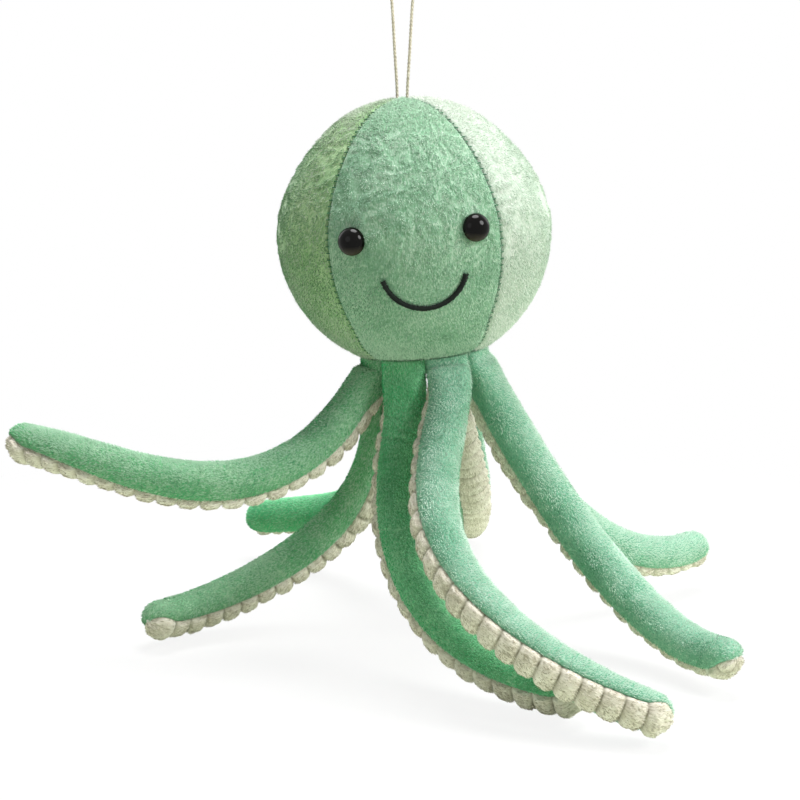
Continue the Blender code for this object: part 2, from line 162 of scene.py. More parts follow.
def fine_grained(name, grain, stops, finish, relief=None):
    """A material of a few tones in a fine grain, with this finish and depth of relief."""
    made, tree, shader = new_material(name)
    spot = add(tree, "ShaderNodeTexCoord").outputs["Object"]
    grain = add(tree, "ShaderNodeTexNoise", {"Vector": spot, **grain})
    feed(tree, shader, {"Base Color": add(tree, "ShaderNodeValToRGB", {"Fac": grain}, stops), **finish})
    if relief:
        feed(tree, shader, {"Normal": add(tree, "ShaderNodeBump", {"Height": grain, **relief})})
    return made


def mesh_object(name, points, faces, material):
    mesh = bpy.data.meshes.new(name)
    mesh.from_pydata(np.asarray(points).reshape(-1, 3).tolist(), [], faces)
    mesh.shade_smooth()
    if material:
        mesh.materials.append(material)
    obj = bpy.data.objects.new(name, mesh)
    scene.collection.objects.link(obj)
    return obj


def tube_faces(rows, columns, start=0):
    """Quads of a capped tube whose rings of points follow one another."""
    faces = []
    for r in range(rows - 1):
        for c in range(columns):
            d = (c + 1) % columns
            near, far = start + r * columns, start + (r + 1) * columns
            faces.append((near + c, near + d, far + d, far + c))
    faces.append(tuple(start + c for c in reversed(range(columns))))
    faces.append(tuple(start + (rows - 1) * columns + c for c in range(columns)))
    return faces


# Cotton, two plies twisted together: matt, with a light line on each turn of the twist
cord_material = fine_grained("twisted_cotton_cord", {"Scale": 900.0, "Detail": 3.0},
                             ((0.30, "#b3a894"), (0.55, "#d0c6b3"), (0.8, "#eae4d7")),
                             {"Roughness": 0.85, "Sheen Weight": 0.3},
                             {"Distance": 0.0002, "Strength": 0.6})

right = np.array([(x, 0, z) for x, z in LOOP_ROUTE])
rough_route = refine(np.concatenate([right, right[-2::-1] * (-1, 1, 1)]), 24)
distances = travelled(rough_route)
marks = np.linspace(0, distances[-1], round(distances[-1] / CORD_STEP) + 1)
route = points_at(marks, distances, rough_route)
forward = np.gradient(route, axis=0)
forward /= np.linalg.norm(forward, axis=1)[:, None]
sideways = np.cross(forward, (0, 1, 0))
toward = np.tile((0.0, 1.0, 0.0), (len(route), 1))
points, faces = [], []
for ply in range(2):
    turn = 2 * math.pi * marks / PLY_LAY + math.pi * ply
    centre = route + (CORD_RADIUS - PLY_RADIUS) * (
        np.cos(turn)[:, None] * sideways + np.sin(turn)[:, None] * toward)
    ring = []
    for a in np.linspace(0, 2 * math.pi, PLY_SIDES, endpoint=False):
        ring.append(centre + PLY_RADIUS * (math.cos(a) * sideways - math.sin(a) * toward))
    faces += tube_faces(len(route), PLY_SIDES, ply * len(route) * PLY_SIDES)
    points.append(np.stack(ring, axis=1).reshape(-1, 3))
cord = mesh_object("string_loop", np.concatenate(points), faces, cord_material)
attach(cord, "head")
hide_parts("hanging_loop")
for place in bpy.data.objects["loop_knot"].material_slots:
    place.material = cord_material

# Head cover
# Four petal-shaped gores of short polyester plush, sewn edge to edge, turned and stuffed
# until they swell between the seams. The nap is brushed downwards.
HEAD_RADIUS = 0.0745
HEAD_TOP_HEIGHT = 0.0717
CROWN_SLOPE = 0.055
HEAD_TILT = 5.0
NECK_RADIUS = 0.0355
CROWN_RADIUS = 0.0028
COVER_INSET = 0.0004
SEAM_AZIMUTH = 37.5
SEAM_AZIMUTH_AT_NECK = 46.0
SEAM_SPREAD_LATITUDE = 35.0
GORE_COLUMNS = 22
GORE_ROWS = 40
GORE_REFINE = 4
PLUSH_WALL = 0.0012
SEAM_DEPTH = 0.0017
SEAM_ROLL = 0.0013
PUCKER_PITCH = 0.0062
PUCKER_HEIGHT = 0.00022
PUCKER_REACH = 0.006
NECK_SEAM_DEPTH = 0.0007
SEAM_SHADE = 0.55
STUFFING_FRAMES = 20
STUFFING_PRESSURE = 4.0
COVER_STIFFNESS = 12
SWELL_CAP = 0.0016
CREASE_DEPTH = 0.0006
CREASE_WIDTH = 0.0009
CREASE_FADE_BELOW = (-0.030, 0.004)
CREASE_FADE_ABOVE = (0.054, 0.070)
CREASE_SCALE = 150.0
CREASE_SPACING = 0.0042
CREASE_WARP_SCALE = 45.0
CREASE_WARP = 0.014
CREASE_ENDS = (0.0005, 0.003)
CREASE_SEED = 3

NECK_DEPTH = math.sqrt(HEAD_RADIUS**2 - NECK_RADIUS**2)
NECK_LATITUDE = -math.degrees(math.acos(NECK_RADIUS / HEAD_RADIUS))
TILT = np.array(Matrix.Rotation(math.radians(-HEAD_TILT), 3, "Y"))
HEAD_UP = TILT @ (0, 0, 1)
HEAD_CENTRE = np.array((0, 0, -LOOP_HEIGHT)) - HEAD_UP * HEAD_TOP_HEIGHT
noise.seed_set(CREASE_SEED)


def smoothstep(low, high, value):
    t = np.clip((value - low) / (high - low), 0, 1)
    return t * t * (3 - 2 * t)


def head_point(azimuth, latitude, lift=0.0):
    """Points of the head's surface in the row frame, from angles in degrees."""
    a, b = np.radians(azimuth), np.radians(latitude)
    height = np.where(latitude > 0, HEAD_TOP_HEIGHT, HEAD_RADIUS) + lift
    slope = 1 - np.where(latitude > 0, CROWN_SLOPE * np.sin(2 * b) ** 2, 0)
    radius = (HEAD_RADIUS + lift) * np.cos(b) * slope
    local = np.stack([radius * np.sin(a), -radius * np.cos(a), height * np.sin(b)], axis=-1)
    return local @ TILT.T + HEAD_CENTRE


def head_lattice():
    """Rows of points round the whole cover, each starting at the front gore's left seam."""
    crown_latitude = math.degrees(math.acos(CROWN_RADIUS / HEAD_RADIUS))
    rows = []
    for latitude in np.linspace(NECK_LATITUDE, crown_latitude, GORE_ROWS + 1):
        spread = smoothstep(SEAM_SPREAD_LATITUDE, -NECK_LATITUDE, -latitude)
        seam = SEAM_AZIMUTH + (SEAM_AZIMUTH_AT_NECK - SEAM_AZIMUTH) * spread
        row = []
        for side in range(4):
            half = seam if side % 2 == 0 else 90 - seam
            row.append(90 * side + np.linspace(-1, 1, GORE_COLUMNS, endpoint=False) * half)
        azimuths = np.concatenate(row)
        rows.append(head_point(azimuths, np.full(len(azimuths), latitude), -COVER_INSET))
    return np.array(rows)


def settled(rings, sewn):
    """Where a closed, stuffed cover of these rings comes to rest, its sewn points held."""
    rows, columns = rings.shape[:2]
    points = np.concatenate([rings.reshape(-1, 3), [rings[0].mean(axis=0)], [rings[-1].mean(axis=0)]])
    faces = tube_faces(rows, columns)[:-2]
    for c in range(columns):
        d = (c + 1) % columns
        faces.append((d, c, rows * columns))
        faces.append(((rows - 1) * columns + c, (rows - 1) * columns + d, rows * columns + 1))
    held = np.flatnonzero(np.append(sewn.reshape(-1), (True, True)))
    obj = mesh_object("cover_before_stuffing", points, faces, None)
    obj.vertex_groups.new(name="sewn").add(held.tolist(), 1.0, "REPLACE")
    cloth = obj.modifiers.new("stuffing", "CLOTH")
    cloth.settings.use_pressure = True
    cloth.settings.uniform_pressure_force = STUFFING_PRESSURE
    cloth.settings.vertex_group_mass = "sewn"
    cloth.settings.tension_stiffness = COVER_STIFFNESS
    cloth.settings.compression_stiffness = COVER_STIFFNESS
    cloth.settings.effector_weights.gravity = 0
    cloth.collision_settings.use_collision = False
    cloth.point_cache.frame_end = STUFFING_FRAMES
    for number in range(1, STUFFING_FRAMES + 1):
        scene.frame_set(number)
    shape = obj.evaluated_get(bpy.context.evaluated_depsgraph_get()).to_mesh()
    found = np.empty(len(shape.vertices) * 3, np.float32)
    shape.vertices.foreach_get("co", found)
    scene.frame_set(1)
    bpy.data.objects.remove(obj, do_unlink=True)
    moved = found.reshape(-1, 3).astype(float) - points
    far = np.linalg.norm(moved, axis=1, keepdims=True)
    points = points + moved * np.minimum(1, SWELL_CAP / np.maximum(far, 1e-9))
    return points[:-2].reshape(rows, columns, 3)


def crease_distances(grid):
    """About how far each point is from a crease of the pile: curves a few millimetres apart."""
    found = np.empty(grid.shape[:2])
    for place in np.ndindex(found.shape):
        spot = Vector(grid[place])
        warp = noise.noise_vector(spot * CREASE_WARP_SCALE) * CREASE_WARP
        found[place] = abs(noise.noise((spot + warp) * CREASE_SCALE)) * CREASE_SPACING
    return found


def refined(grid, down, over):
    return refine(refine(grid, down).transpose(1, 0, 2), over).transpose(1, 0, 2)


def grid_normals(grid):
    normals = np.cross(np.gradient(grid, axis=1), np.gradient(grid, axis=0))
    return normals / np.maximum(np.linalg.norm(normals, axis=2, keepdims=True), 1e-12)


def store(obj, name, values):
    """Keeps a number or a vector for each point of a piece, for its materials and nodes."""
    values = np.asarray(values, np.float32)
    kind, field = ("FLOAT_VECTOR", "vector") if values.ndim == 2 else ("FLOAT", "value")
    obj.data.attributes.new(name, kind, "POINT").data.foreach_set(field, values.ravel())


def cover(name, outer, inner, material, uv, extras):
    """A closed piece of fabric between two grids, with its UVs and named surface values."""
    rows, columns = outer.shape[:2]
    count = rows * columns
    index = np.arange(count).reshape(rows, columns)
    quads = np.stack([index[:-1, :-1], index[:-1, 1:], index[1:, 1:], index[1:, :-1]], axis=-1)
    quads = quads.reshape(-1, 4)
    rim = np.concatenate([index[0], index[1:, -1], index[-1, -2::-1], index[-2:0:-1, 0]])
    after = np.roll(rim, -1)
    edge = np.stack([after, rim, rim + count, after + count], axis=-1)
    faces = np.concatenate([quads, quads[:, ::-1] + count, edge])
    points = np.concatenate([outer.reshape(-1, 3), inner.reshape(-1, 3)])
    obj = mesh_object(name, points, faces.tolist(), material)
    mesh = obj.data
    corners = np.empty(len(mesh.loops), np.int32)
    mesh.loops.foreach_get("vertex_index", corners)
    flat = np.tile(uv.reshape(-1, 2), (2, 1))[corners]
    mesh.uv_layers.new(name="fabric").data.foreach_set("uv", flat.astype(np.float32).ravel())
    for key, values in extras.items():
        store(obj, key, np.tile(values.reshape(-1), 2))
    shown = np.arange(len(faces)) < len(quads)
    mesh.attributes.new("pile_side", "BOOLEAN", "FACE").data.foreach_set("value", shown)
    return obj


def plush_material(name, deep, middle, light):
    """Short polyester pile on a knit, brushed one way: fibre tips a millimetre long catch
    the light in flecks, the nap crinkles every few millimetres, and seams get painted shade."""
    made, tree, shader = new_material(name)
    weave = add(tree, "ShaderNodeUVMap", uv_map="fabric")
    spot = add(tree, "ShaderNodeTexCoord").outputs["Object"]
    lying = add(tree, "ShaderNodeMapping", {"Vector": weave, "Scale": (1.0, 0.42, 1.0)})
    flecks = add(tree, "ShaderNodeTexNoise",
                 {"Vector": lying, "Scale": 1150.0, "Detail": 2.0, "Distortion": 0.5})
    crinkle = add(tree, "ShaderNodeTexNoise",
                  {"Vector": weave, "Scale": 360.0, "Detail": 3.0, "Roughness": 0.7, "Distortion": 1.4})
    patches = add(tree, "ShaderNodeTexNoise", {"Vector": spot, "Scale": 48.0, "Detail": 2.0})
    pile = 0.0
    for layer, share in ((patches, 0.20), (crinkle, 0.36), (flecks, 0.44)):
        pile = add(tree, "ShaderNodeMath", (layer, share, pile), operation="MULTIPLY_ADD")
    colour = add(tree, "ShaderNodeValToRGB", {"Fac": pile},
                 ((0.36, deep), (0.50, middle), (0.66, light)))
    # Painted shade: the colour darkens toward #2f6a4a within a millimetre of each seam, where it dips in
    seam = add(tree, "ShaderNodeAttribute", attribute_name="seam_distance").outputs["Fac"]
    shade = add(tree, "ShaderNodeMapRange",
                {"Value": seam, "From Min": 0.0001, "From Max": 0.0009,
                 "To Min": SEAM_SHADE, "To Max": 0.0})
    sewn = add(tree, "ShaderNodeMix", {0: shade, 6: colour, 7: linear("#2f6a4a")}, data_type="RGBA")
    bump = add(tree, "ShaderNodeBump", {"Height": pile, "Distance": 0.0010, "Strength": 0.7})
    feed(tree, shader, {"Base Color": sewn.outputs[2], "Roughness": 0.95, "Specular IOR Level": 0.12,
                        "Sheen Weight": 0.8, "Sheen Roughness": 0.35, "Sheen Tint": linear("#e6f5e8"),
                        "Normal": bump})
    return made


lattice = head_lattice()
sewn = np.zeros(lattice.shape[:2], bool)
sewn[:, ::GORE_COLUMNS] = True
sewn[:2] = True
sewn[-2:] = True
stuffed = settled(lattice, sewn)

# The gores are one fabric. The right gore is painted lighter, painted light from the key lamp's side, and
# the left gore greyer and darker, painted shade away from it
face_plush = plush_material("mint_plush_nap_down", "#659472", "#88ad90", "#b7ccb9")
lit_side_plush = plush_material("mint_plush_nap_toward_light", "#98b098", "#b7c3b5", "#d5d8d0")
shaded_side_plush = plush_material("mint_plush_nap_away", "#6a9564", "#91b483", "#bfd3aa")
GORES = {"front_gore": face_plush, "right_gore": lit_side_plush,
         "back_gore": face_plush, "left_gore": shaded_side_plush}
gore_seams = []
head_covers = []
for side, (gore, fabric) in enumerate(GORES.items()):
    wanted = np.arange(side * GORE_COLUMNS, (side + 1) * GORE_COLUMNS + 1) % stuffed.shape[1]
    patch = refined(stuffed[:, wanted], GORE_REFINE, GORE_REFINE)
    from_left = travelled(patch, 1)
    from_neck = travelled(patch)
    to_side = np.minimum(from_left, from_left[:, -1:] - from_left)
    to_seam = np.minimum(to_side, from_neck)
    normals = grid_normals(patch)
    dip = -SEAM_DEPTH * np.exp(-(to_side / SEAM_ROLL) ** 1.5)
    dip = np.minimum(dip, -NECK_SEAM_DEPTH * np.exp(-(from_neck / NECK_SEAM_DEPTH) ** 2))
    pucker = PUCKER_HEIGHT * np.cos(2 * math.pi * from_neck / PUCKER_PITCH)
    pucker *= np.exp(-(to_side / PUCKER_REACH) ** 2) * smoothstep(0, 0.002, to_side)
    height = (patch - HEAD_CENTRE) @ HEAD_UP
    faded = 1 - smoothstep(*CREASE_FADE_BELOW, height) + smoothstep(*CREASE_FADE_ABOVE, height)
    from_crease = crease_distances(patch) + faded * CREASE_WIDTH
    crease = -CREASE_DEPTH * np.exp(-(from_crease / CREASE_WIDTH) ** 2) * smoothstep(*CREASE_ENDS, to_seam)
    outer = patch + normals * (dip + pucker + crease)[..., None]
    flat = np.stack([from_left - from_left[:, -1:] / 2, from_neck], axis=-1)
    obj = cover(gore + "_cover", outer, outer - normals * PLUSH_WALL, fabric, flat,
                {"seam_distance": to_seam, "crease_distance": from_crease})
    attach(obj, "head")
    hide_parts(gore)
    head_covers.append(obj)
    gore_seams.append((patch[:, 0], normals[:, 0]))

# Head pile
# The brushed tips of the plush: tufts of fine polyester fibre that lean the way the nap
# runs. A tuft of a few dozen real fibres is drawn as one blade, so that it shows.
TUFT_LENGTH = 0.0013
TUFT_RADIUS = 0.00022
TUFTS_PER_AREA = 1.35e6
TUFT_LEAN = 1.1
TUFT_JITTER = 0.40
TUFT_SWIRL = 2.4
SWIRL_SCALE = 125.0
BRUSHED_SCALE = 55.0
SEAM_PARTING = 0.0006
GROOVE_PARTING = 0.03
# Painted light and shade on the head's pile: lighter toward the crown and the chin, darker across the face
CROWN_PAINTED_LIGHT = 1.0
CHIN_PAINTED_LIGHT = 0.50
FACE_SHADE = 0.28


def new_tree(name, sizes, materials):
    """A geometry nodes tree that takes a mesh, these sizes, a seed and these materials."""
    tree = bpy.data.node_groups.new(name, "GeometryNodeTree")
    kinds = {"Geometry": "Geometry", **dict.fromkeys(sizes, "Float"), "Seed": "Int",
             **dict.fromkeys(materials, "Material")}
    for title, kind in kinds.items():
        tree.interface.new_socket(title, in_out="INPUT", socket_type="NodeSocket" + kind)
    tree.interface.new_socket("Geometry", in_out="OUTPUT", socket_type="NodeSocketGeometry")
    return tree, add(tree, "NodeGroupInput").outputs


def pile_tree():
    """Geometry nodes: leaning tufts spread over the outer side of a cover."""
    tree, given = new_tree("brushed_pile",
                           ("Tufts Per Area", "Length", "Radius", "Lean", "Swirl", "Jitter"),
                           ("Shaded Fibre", "Bright Fibre"))
    seed = given["Seed"]
    shown = add(tree, "GeometryNodeInputNamedAttribute", {"Name": "pile_side"}, data_type="BOOLEAN")
    nap = add(tree, "GeometryNodeInputNamedAttribute", {"Name": "nap"}, data_type="FLOAT_VECTOR")
    seam, groove, crease, lit_share = [
        add(tree, "GeometryNodeInputNamedAttribute", {"Name": name}, data_type="FLOAT")
        for name in ("seam_distance", "groove", "crease_distance", "paleness")]
    clear = add(tree, "ShaderNodeMath", (groove, -GROOVE_PARTING, seam), operation="MULTIPLY_ADD")
    clear = add(tree, "ShaderNodeMath", (clear, crease), operation="MINIMUM")
    clear = add(tree, "FunctionNodeCompare", (clear, SEAM_PARTING), operation="GREATER_THAN")
    shown = add(tree, "FunctionNodeBooleanMath", (shown, clear), operation="AND")
    spread = add(tree, "GeometryNodeDistributePointsOnFaces",
                 {"Mesh": given["Geometry"], "Selection": shown, "Density": given["Tufts Per Area"],
                  "Seed": seed})
    strayed = add(tree, "FunctionNodeRandomValue", {0: (-1, -1, -1), 1: (1, 1, 1), "Seed": seed},
                  data_type="FLOAT_VECTOR")
    strayed = add(tree, "ShaderNodeVectorMath", {0: strayed, "Scale": given["Jitter"]}, operation="SCALE")
    way = add(tree, "ShaderNodeVectorMath", {0: nap, "Scale": given["Lean"]}, operation="SCALE")
    swirl = add(tree, "ShaderNodeTexNoise", {"Scale": SWIRL_SCALE, "Detail": 1.0}).outputs["Color"]
    swirl = add(tree, "ShaderNodeVectorMath", (swirl, (0.5, 0.5, 0.5)), operation="SUBTRACT")
    swirl = add(tree, "ShaderNodeVectorMath", {0: swirl, "Scale": given["Swirl"]}, operation="SCALE")
    for part in (spread.outputs["Normal"], strayed, swirl):
        way = add(tree, "ShaderNodeVectorMath", (way, part), operation="ADD")
    stood = add(tree, "FunctionNodeAlignRotationToVector", {"Vector": way}, axis="Z")
    blade = add(tree, "GeometryNodeMeshCone",
                {"Vertices": 3, "Radius Top": 0.0, "Radius Bottom": given["Radius"],
                 "Depth": given["Length"]})
    height = add(tree, "FunctionNodeRandomValue", {2: 0.6, 3: 1.25, "Seed": 5}, data_type="FLOAT")
    size = add(tree, "ShaderNodeCombineXYZ", (1.0, 1.0, height.outputs[1]))
    tufts = add(tree, "GeometryNodeInstanceOnPoints",
                {"Points": spread, "Instance": blade, "Rotation": stood, "Scale": size})
    # Light tips fall in random patches, and more often where the piece's stored value for painted light is
    # high; where it is low they give painted shade
    brushed = add(tree, "ShaderNodeTexNoise", {"Scale": BRUSHED_SCALE, "Detail": 2.0})
    brushed = add(tree, "ShaderNodeMapRange",
                  {"Value": brushed, "From Min": 0.35, "From Max": 0.65, "To Min": 0.24, "To Max": 0.76})
    brushed = add(tree, "ShaderNodeMath", (brushed, lit_share), operation="ADD")
    bright = add(tree, "FunctionNodeRandomValue", {"Probability": brushed, "Seed": 9}, data_type="BOOLEAN")
    marked = add(tree, "GeometryNodeStoreNamedAttribute",
                 {"Geometry": tufts, "Name": "bright", "Value": bright.outputs[3]},
                 data_type="BOOLEAN", domain="INSTANCE")
    real = add(tree, "GeometryNodeRealizeInstances", {"Geometry": marked})
    chosen = add(tree, "GeometryNodeInputNamedAttribute", {"Name": "bright"}, data_type="BOOLEAN")
    dressed = add(tree, "GeometryNodeSetMaterial", {"Geometry": real, "Material": given["Shaded Fibre"]})
    dressed = add(tree, "GeometryNodeSetMaterial",
                  {"Geometry": dressed, "Selection": chosen, "Material": given["Bright Fibre"]})
    add(tree, "NodeGroupOutput", (dressed,))
    return tree


def grown(name, source, tree, values):
    """A plain mesh object of what a node tree makes on a source object."""
    modifier = source.modifiers.new("made", "NODES")
    modifier.node_group = tree
    for item in tree.interface.items_tree:
        if item.in_out == "INPUT" and item.name in values:
            modifier[item.identifier] = values[item.name]
    graph = bpy.context.evaluated_depsgraph_get()
    graph.update()
    mesh = bpy.data.meshes.new_from_object(source.evaluated_get(graph), depsgraph=graph)
    source.modifiers.remove(modifier)
    mesh.name = name
    obj = bpy.data.objects.new(name, mesh)
    scene.collection.objects.link(obj)
    return obj


def fibres(name, *colours):
    """Fine trilobal polyester fibre: matt along its length, with a pale velvety edge. The
    first tone is painted shade and the second painted light on the tips; the two also mix at random."""
    found = []
    for tone, colour in zip(("shaded", "bright"), colours):
        made, tree, shader = new_material(f"{name}_fibre_{tone}")
        feed(tree, shader, {"Base Color": linear(colour), "Roughness": 0.8, "Specular IOR Level": 0.2,
                            "Sheen Weight": 0.8, "Sheen Roughness": 0.35})
        found.append(made)
    return found


brushed_pile = pile_tree()


def brushed(name, obj, tones, seed, lean=TUFT_LEAN, swirl=TUFT_SWIRL, share=1.0):
    """The tufts of a cover, as one mesh."""
    return grown(name, obj, brushed_pile,
                 {"Tufts Per Area": TUFTS_PER_AREA * share, "Length": TUFT_LENGTH, "Radius": TUFT_RADIUS,
                  "Lean": lean, "Swirl": swirl, "Jitter": TUFT_JITTER, "Seed": seed,
                  "Shaded Fibre": tones[0], "Bright Fibre": tones[1]})


# The right gore's tones are painted lighter and the left gore's greyer and darker: painted light and painted
# shade
HEAD_TONES = {"front_gore": ("#7fa98d", "#b6d0bb"), "right_gore": ("#b8cab9", "#dee4db"),
              "back_gore": ("#7fa98d", "#b6d0bb"), "left_gore": ("#7a9f7a", "#b2bfac")}
for number, obj in enumerate(head_covers):
    gore = obj.name[:-len("_cover")]
    points = np.empty(len(obj.data.vertices) * 3, np.float32)
    obj.data.vertices.foreach_get("co", points)
    outward = points.reshape(-1, 3) - HEAD_CENTRE
    outward /= np.linalg.norm(outward, axis=1)[:, None]
    rise = outward @ HEAD_UP
    store(obj, "nap", -HEAD_UP + outward * rise[:, None])
    # Painted light: more light tips toward the crown and the chin, and painted shade across the middle of
    # the face
    store(obj, "paleness", CROWN_PAINTED_LIGHT * smoothstep(0.55, 0.97, rise)
          + CHIN_PAINTED_LIGHT * (1 - smoothstep(-0.90, -0.30, rise)) - FACE_SHADE)
    pile = brushed(gore + "_pile", obj, fibres(gore, *HEAD_TONES[gore]), number + 1)
    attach(pile, "head")

# Eyes
# Black domed safety eyes, moulded in glossy ABS: a dome with a thin flat rim that presses
# into the pile, held by a white polypropylene washer on the post behind the cover.
EYE_RADIUS = 0.0073
EYE_HEIGHT = 0.0067
EYE_RIM = 0.0005
EYE_SINK = 0.0004
EYE_POST = ((0.0021, -0.011), (0.0022, -0.0004))
EYES = {"left_eye": (-25.2, 3.5), "right_eye": (25.2, 4.8)}

# Polished black ABS: almost a mirror. Its downward side is painted a faint brown, a painted reflection of
# the light from below
eye_plastic, tree, shader = new_material("polished_black_abs")
spot = add(tree, "ShaderNodeTexCoord").outputs["Object"]
haze = add(tree, "ShaderNodeTexNoise", {"Vector": spot, "Scale": 320.0, "Detail": 4.0})
rough = add(tree, "ShaderNodeMapRange", {"Value": haze, "To Min": 0.03, "To Max": 0.08})
facing = add(tree, "ShaderNodeSeparateXYZ", (add(tree, "ShaderNodeNewGeometry").outputs["Normal"],))
below = add(tree, "ShaderNodeMath", (facing.outputs["Z"], -0.5, 0.5), operation="MULTIPLY_ADD")
painted_lower_reflection = add(tree, "ShaderNodeValToRGB", {"Fac": below}, ((0.62, "#070605"), (0.95, "#3c352c")))
feed(tree, shader, {"Base Color": painted_lower_reflection, "Roughness": rough, "Specular IOR Level": 0.12})


def turned(profile, steps, place, up):
    """Points and faces of a profile of (radius, height) turned about an axis."""
    turn = np.array(Vector(up).to_track_quat("Z", "Y").to_matrix())
    points = []
    for radius, height in profile:
        for a in np.linspace(0, 2 * math.pi, steps, endpoint=False):
            points.append(turn @ (radius * math.cos(a), radius * math.sin(a), height) + place)
    return np.array(points), tube_faces(len(profile), steps)


profile = [*EYE_POST, (EYE_RADIUS - EYE_RIM, 0.0), (EYE_RADIUS - 0.0001, 0.0001)]
for a in np.radians(np.linspace(0, 88.5, 26)):
    profile.append((EYE_RADIUS * math.cos(a), EYE_RIM + (EYE_HEIGHT - EYE_RIM) * math.sin(a)))
for eye, (azimuth, latitude) in EYES.items():
    at = head_point(azimuth, latitude)
    local = TILT.T @ (at - HEAD_CENTRE)
    out = TILT @ (local / np.linalg.norm(local))
    points, faces = turned(profile, 56, at - out * EYE_SINK, out)
    obj = mesh_object(eye + "_dome", points, faces, eye_plastic)
    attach(obj, "head")
    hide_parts(eye)

# Moulded polypropylene: milky white, faintly mottled and half matt
washer_plastic = fine_grained("moulded_white_polypropylene", {"Scale": 800.0, "Detail": 2.0},
                              ((0.3, "#d9dbd8"), (0.7, "#e6e8e5")), {"Roughness": 0.45})
for node in ("left_eye_washer", "right_eye_washer"):
    for place in bpy.data.objects[node].material_slots:
        place.material = washer_plastic

# Smile and seam threads
# The smile is machine satin stitch in dark green rayon: threads laid side by side across
# the line. The seams are sewn in green polyester whose stitches dimple the pile.
SMILE_RADIUS = 0.0219
SMILE_SPAN = math.radians(151.0)
SMILE_CENTRE = (0.0035, -0.0112)
SMILE_LIFT = 0.0002
SMILE_WIDTH = 0.0026
SMILE_PITCH = 0.00042
SMILE_RISE = 0.0024
THREAD_RADIUS = 0.00028
STITCH_PITCH = 0.0035
STITCH_LENGTH = 0.0022
STITCH_RISE = 0.0009
STITCH_SINK = 0.0009


def stitch_tree():
    """Geometry nodes: an arched thread on each point, laid along across and lifted outward."""
    tree, given = new_tree("laid_threads", ("Length", "Radius", "Rise", "Unevenness"), ("Material",))
    half = add(tree, "ShaderNodeMath", (given["Length"], 0.5), operation="MULTIPLY")
    back = add(tree, "ShaderNodeMath", (given["Length"], -0.5), operation="MULTIPLY")
    arch = add(tree, "GeometryNodeCurveQuadraticBezier",
               {"Resolution": 5, "Start": add(tree, "ShaderNodeCombineXYZ", {"X": back}),
                "Middle": add(tree, "ShaderNodeCombineXYZ", {"Z": given["Rise"]}),
                "End": add(tree, "ShaderNodeCombineXYZ", {"X": half})})
    ring = add(tree, "GeometryNodeCurvePrimitiveCircle", {"Resolution": 5, "Radius": given["Radius"]})
    thread = add(tree, "GeometryNodeCurveToMesh", {"Curve": arch, "Profile Curve": ring, "Fill Caps": True})
    across, outward = [
        add(tree, "GeometryNodeInputNamedAttribute", {"Name": name}, data_type="FLOAT_VECTOR")
        for name in ("across", "outward")]
    lain = add(tree, "FunctionNodeAlignRotationToVector", {"Vector": across}, axis="X")
    stood = add(tree, "FunctionNodeAlignRotationToVector", {"Rotation": lain, "Vector": outward},
                axis="Z", pivot_axis="X")
    low = add(tree, "ShaderNodeMath", (1.0, given["Unevenness"]), operation="SUBTRACT")
    high = add(tree, "ShaderNodeMath", (1.0, given["Unevenness"]), operation="ADD")
    size = add(tree, "FunctionNodeRandomValue", {2: low, 3: high, "Seed": given["Seed"]}, data_type="FLOAT")
    scale = add(tree, "ShaderNodeCombineXYZ", (size.outputs[1], 1.0, 1.0))
    laid = add(tree, "GeometryNodeInstanceOnPoints",
               {"Points": given["Geometry"], "Instance": thread, "Rotation": stood, "Scale": scale})
    real = add(tree, "GeometryNodeRealizeInstances", {"Geometry": laid})
    smooth = add(tree, "GeometryNodeSetShadeSmooth", (real,))
    dressed = add(tree, "GeometryNodeSetMaterial", {"Geometry": smooth, "Material": given["Material"]})
    add(tree, "NodeGroupOutput", (dressed,))
    return tree


threads = stitch_tree()


def laid_threads(name, places, acrosses, outwards, values):
    """Threads at these places, as one mesh."""
    source = mesh_object(name + "_places", places, [], None)
    store(source, "across", acrosses)
    store(source, "outward", outwards)
    made = grown(name, source, threads, {"Radius": THREAD_RADIUS, **values})
    bpy.data.objects.remove(source, do_unlink=True)
    return made


# Rayon embroidery thread: fine filaments with a soft silky shine, nearly black green
smile_thread = fine_grained("dark_rayon_thread", {"Scale": 1500.0, "Detail": 2.0},
                            ((0.3, "#080d0a"), (0.75, "#18241b")),
                            {"Roughness": 0.55, "Specular IOR Level": 0.2})

arc = np.arange(0, SMILE_SPAN * SMILE_RADIUS, SMILE_PITCH) / SMILE_RADIUS
angle = -math.pi / 2 - SMILE_SPAN / 2 + arc
x = SMILE_CENTRE[0] + SMILE_RADIUS * np.cos(angle)
z = SMILE_CENTRE[1] + SMILE_RADIUS * np.sin(angle)
stitched = np.stack([x, -np.sqrt((HEAD_RADIUS + SMILE_LIFT) ** 2 - x**2 - z**2), z], axis=-1)
outward = stitched / np.linalg.norm(stitched, axis=1)[:, None]
across = np.stack([np.cos(angle), np.zeros_like(angle), np.sin(angle)], axis=-1)
across -= outward * (across * outward).sum(axis=1)[:, None]
smile = laid_threads("smile_stitches", stitched @ TILT.T + HEAD_CENTRE, across @ TILT.T,
                     outward @ TILT.T,
                     {"Length": SMILE_WIDTH, "Rise": SMILE_RISE, "Unevenness": 0.2, "Seed": 4,
                      "Material": smile_thread})
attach(smile, "head")
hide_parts("smile_embroidery")

# Spun polyester sewing thread, dull and hairy, in a green near the fabric's
seam_thread = fine_grained("green_polyester_thread", {"Scale": 1800.0, "Detail": 2.0},
                           ((0.3, "#275f41"), (0.75, "#40805b")), {"Roughness": 0.75})

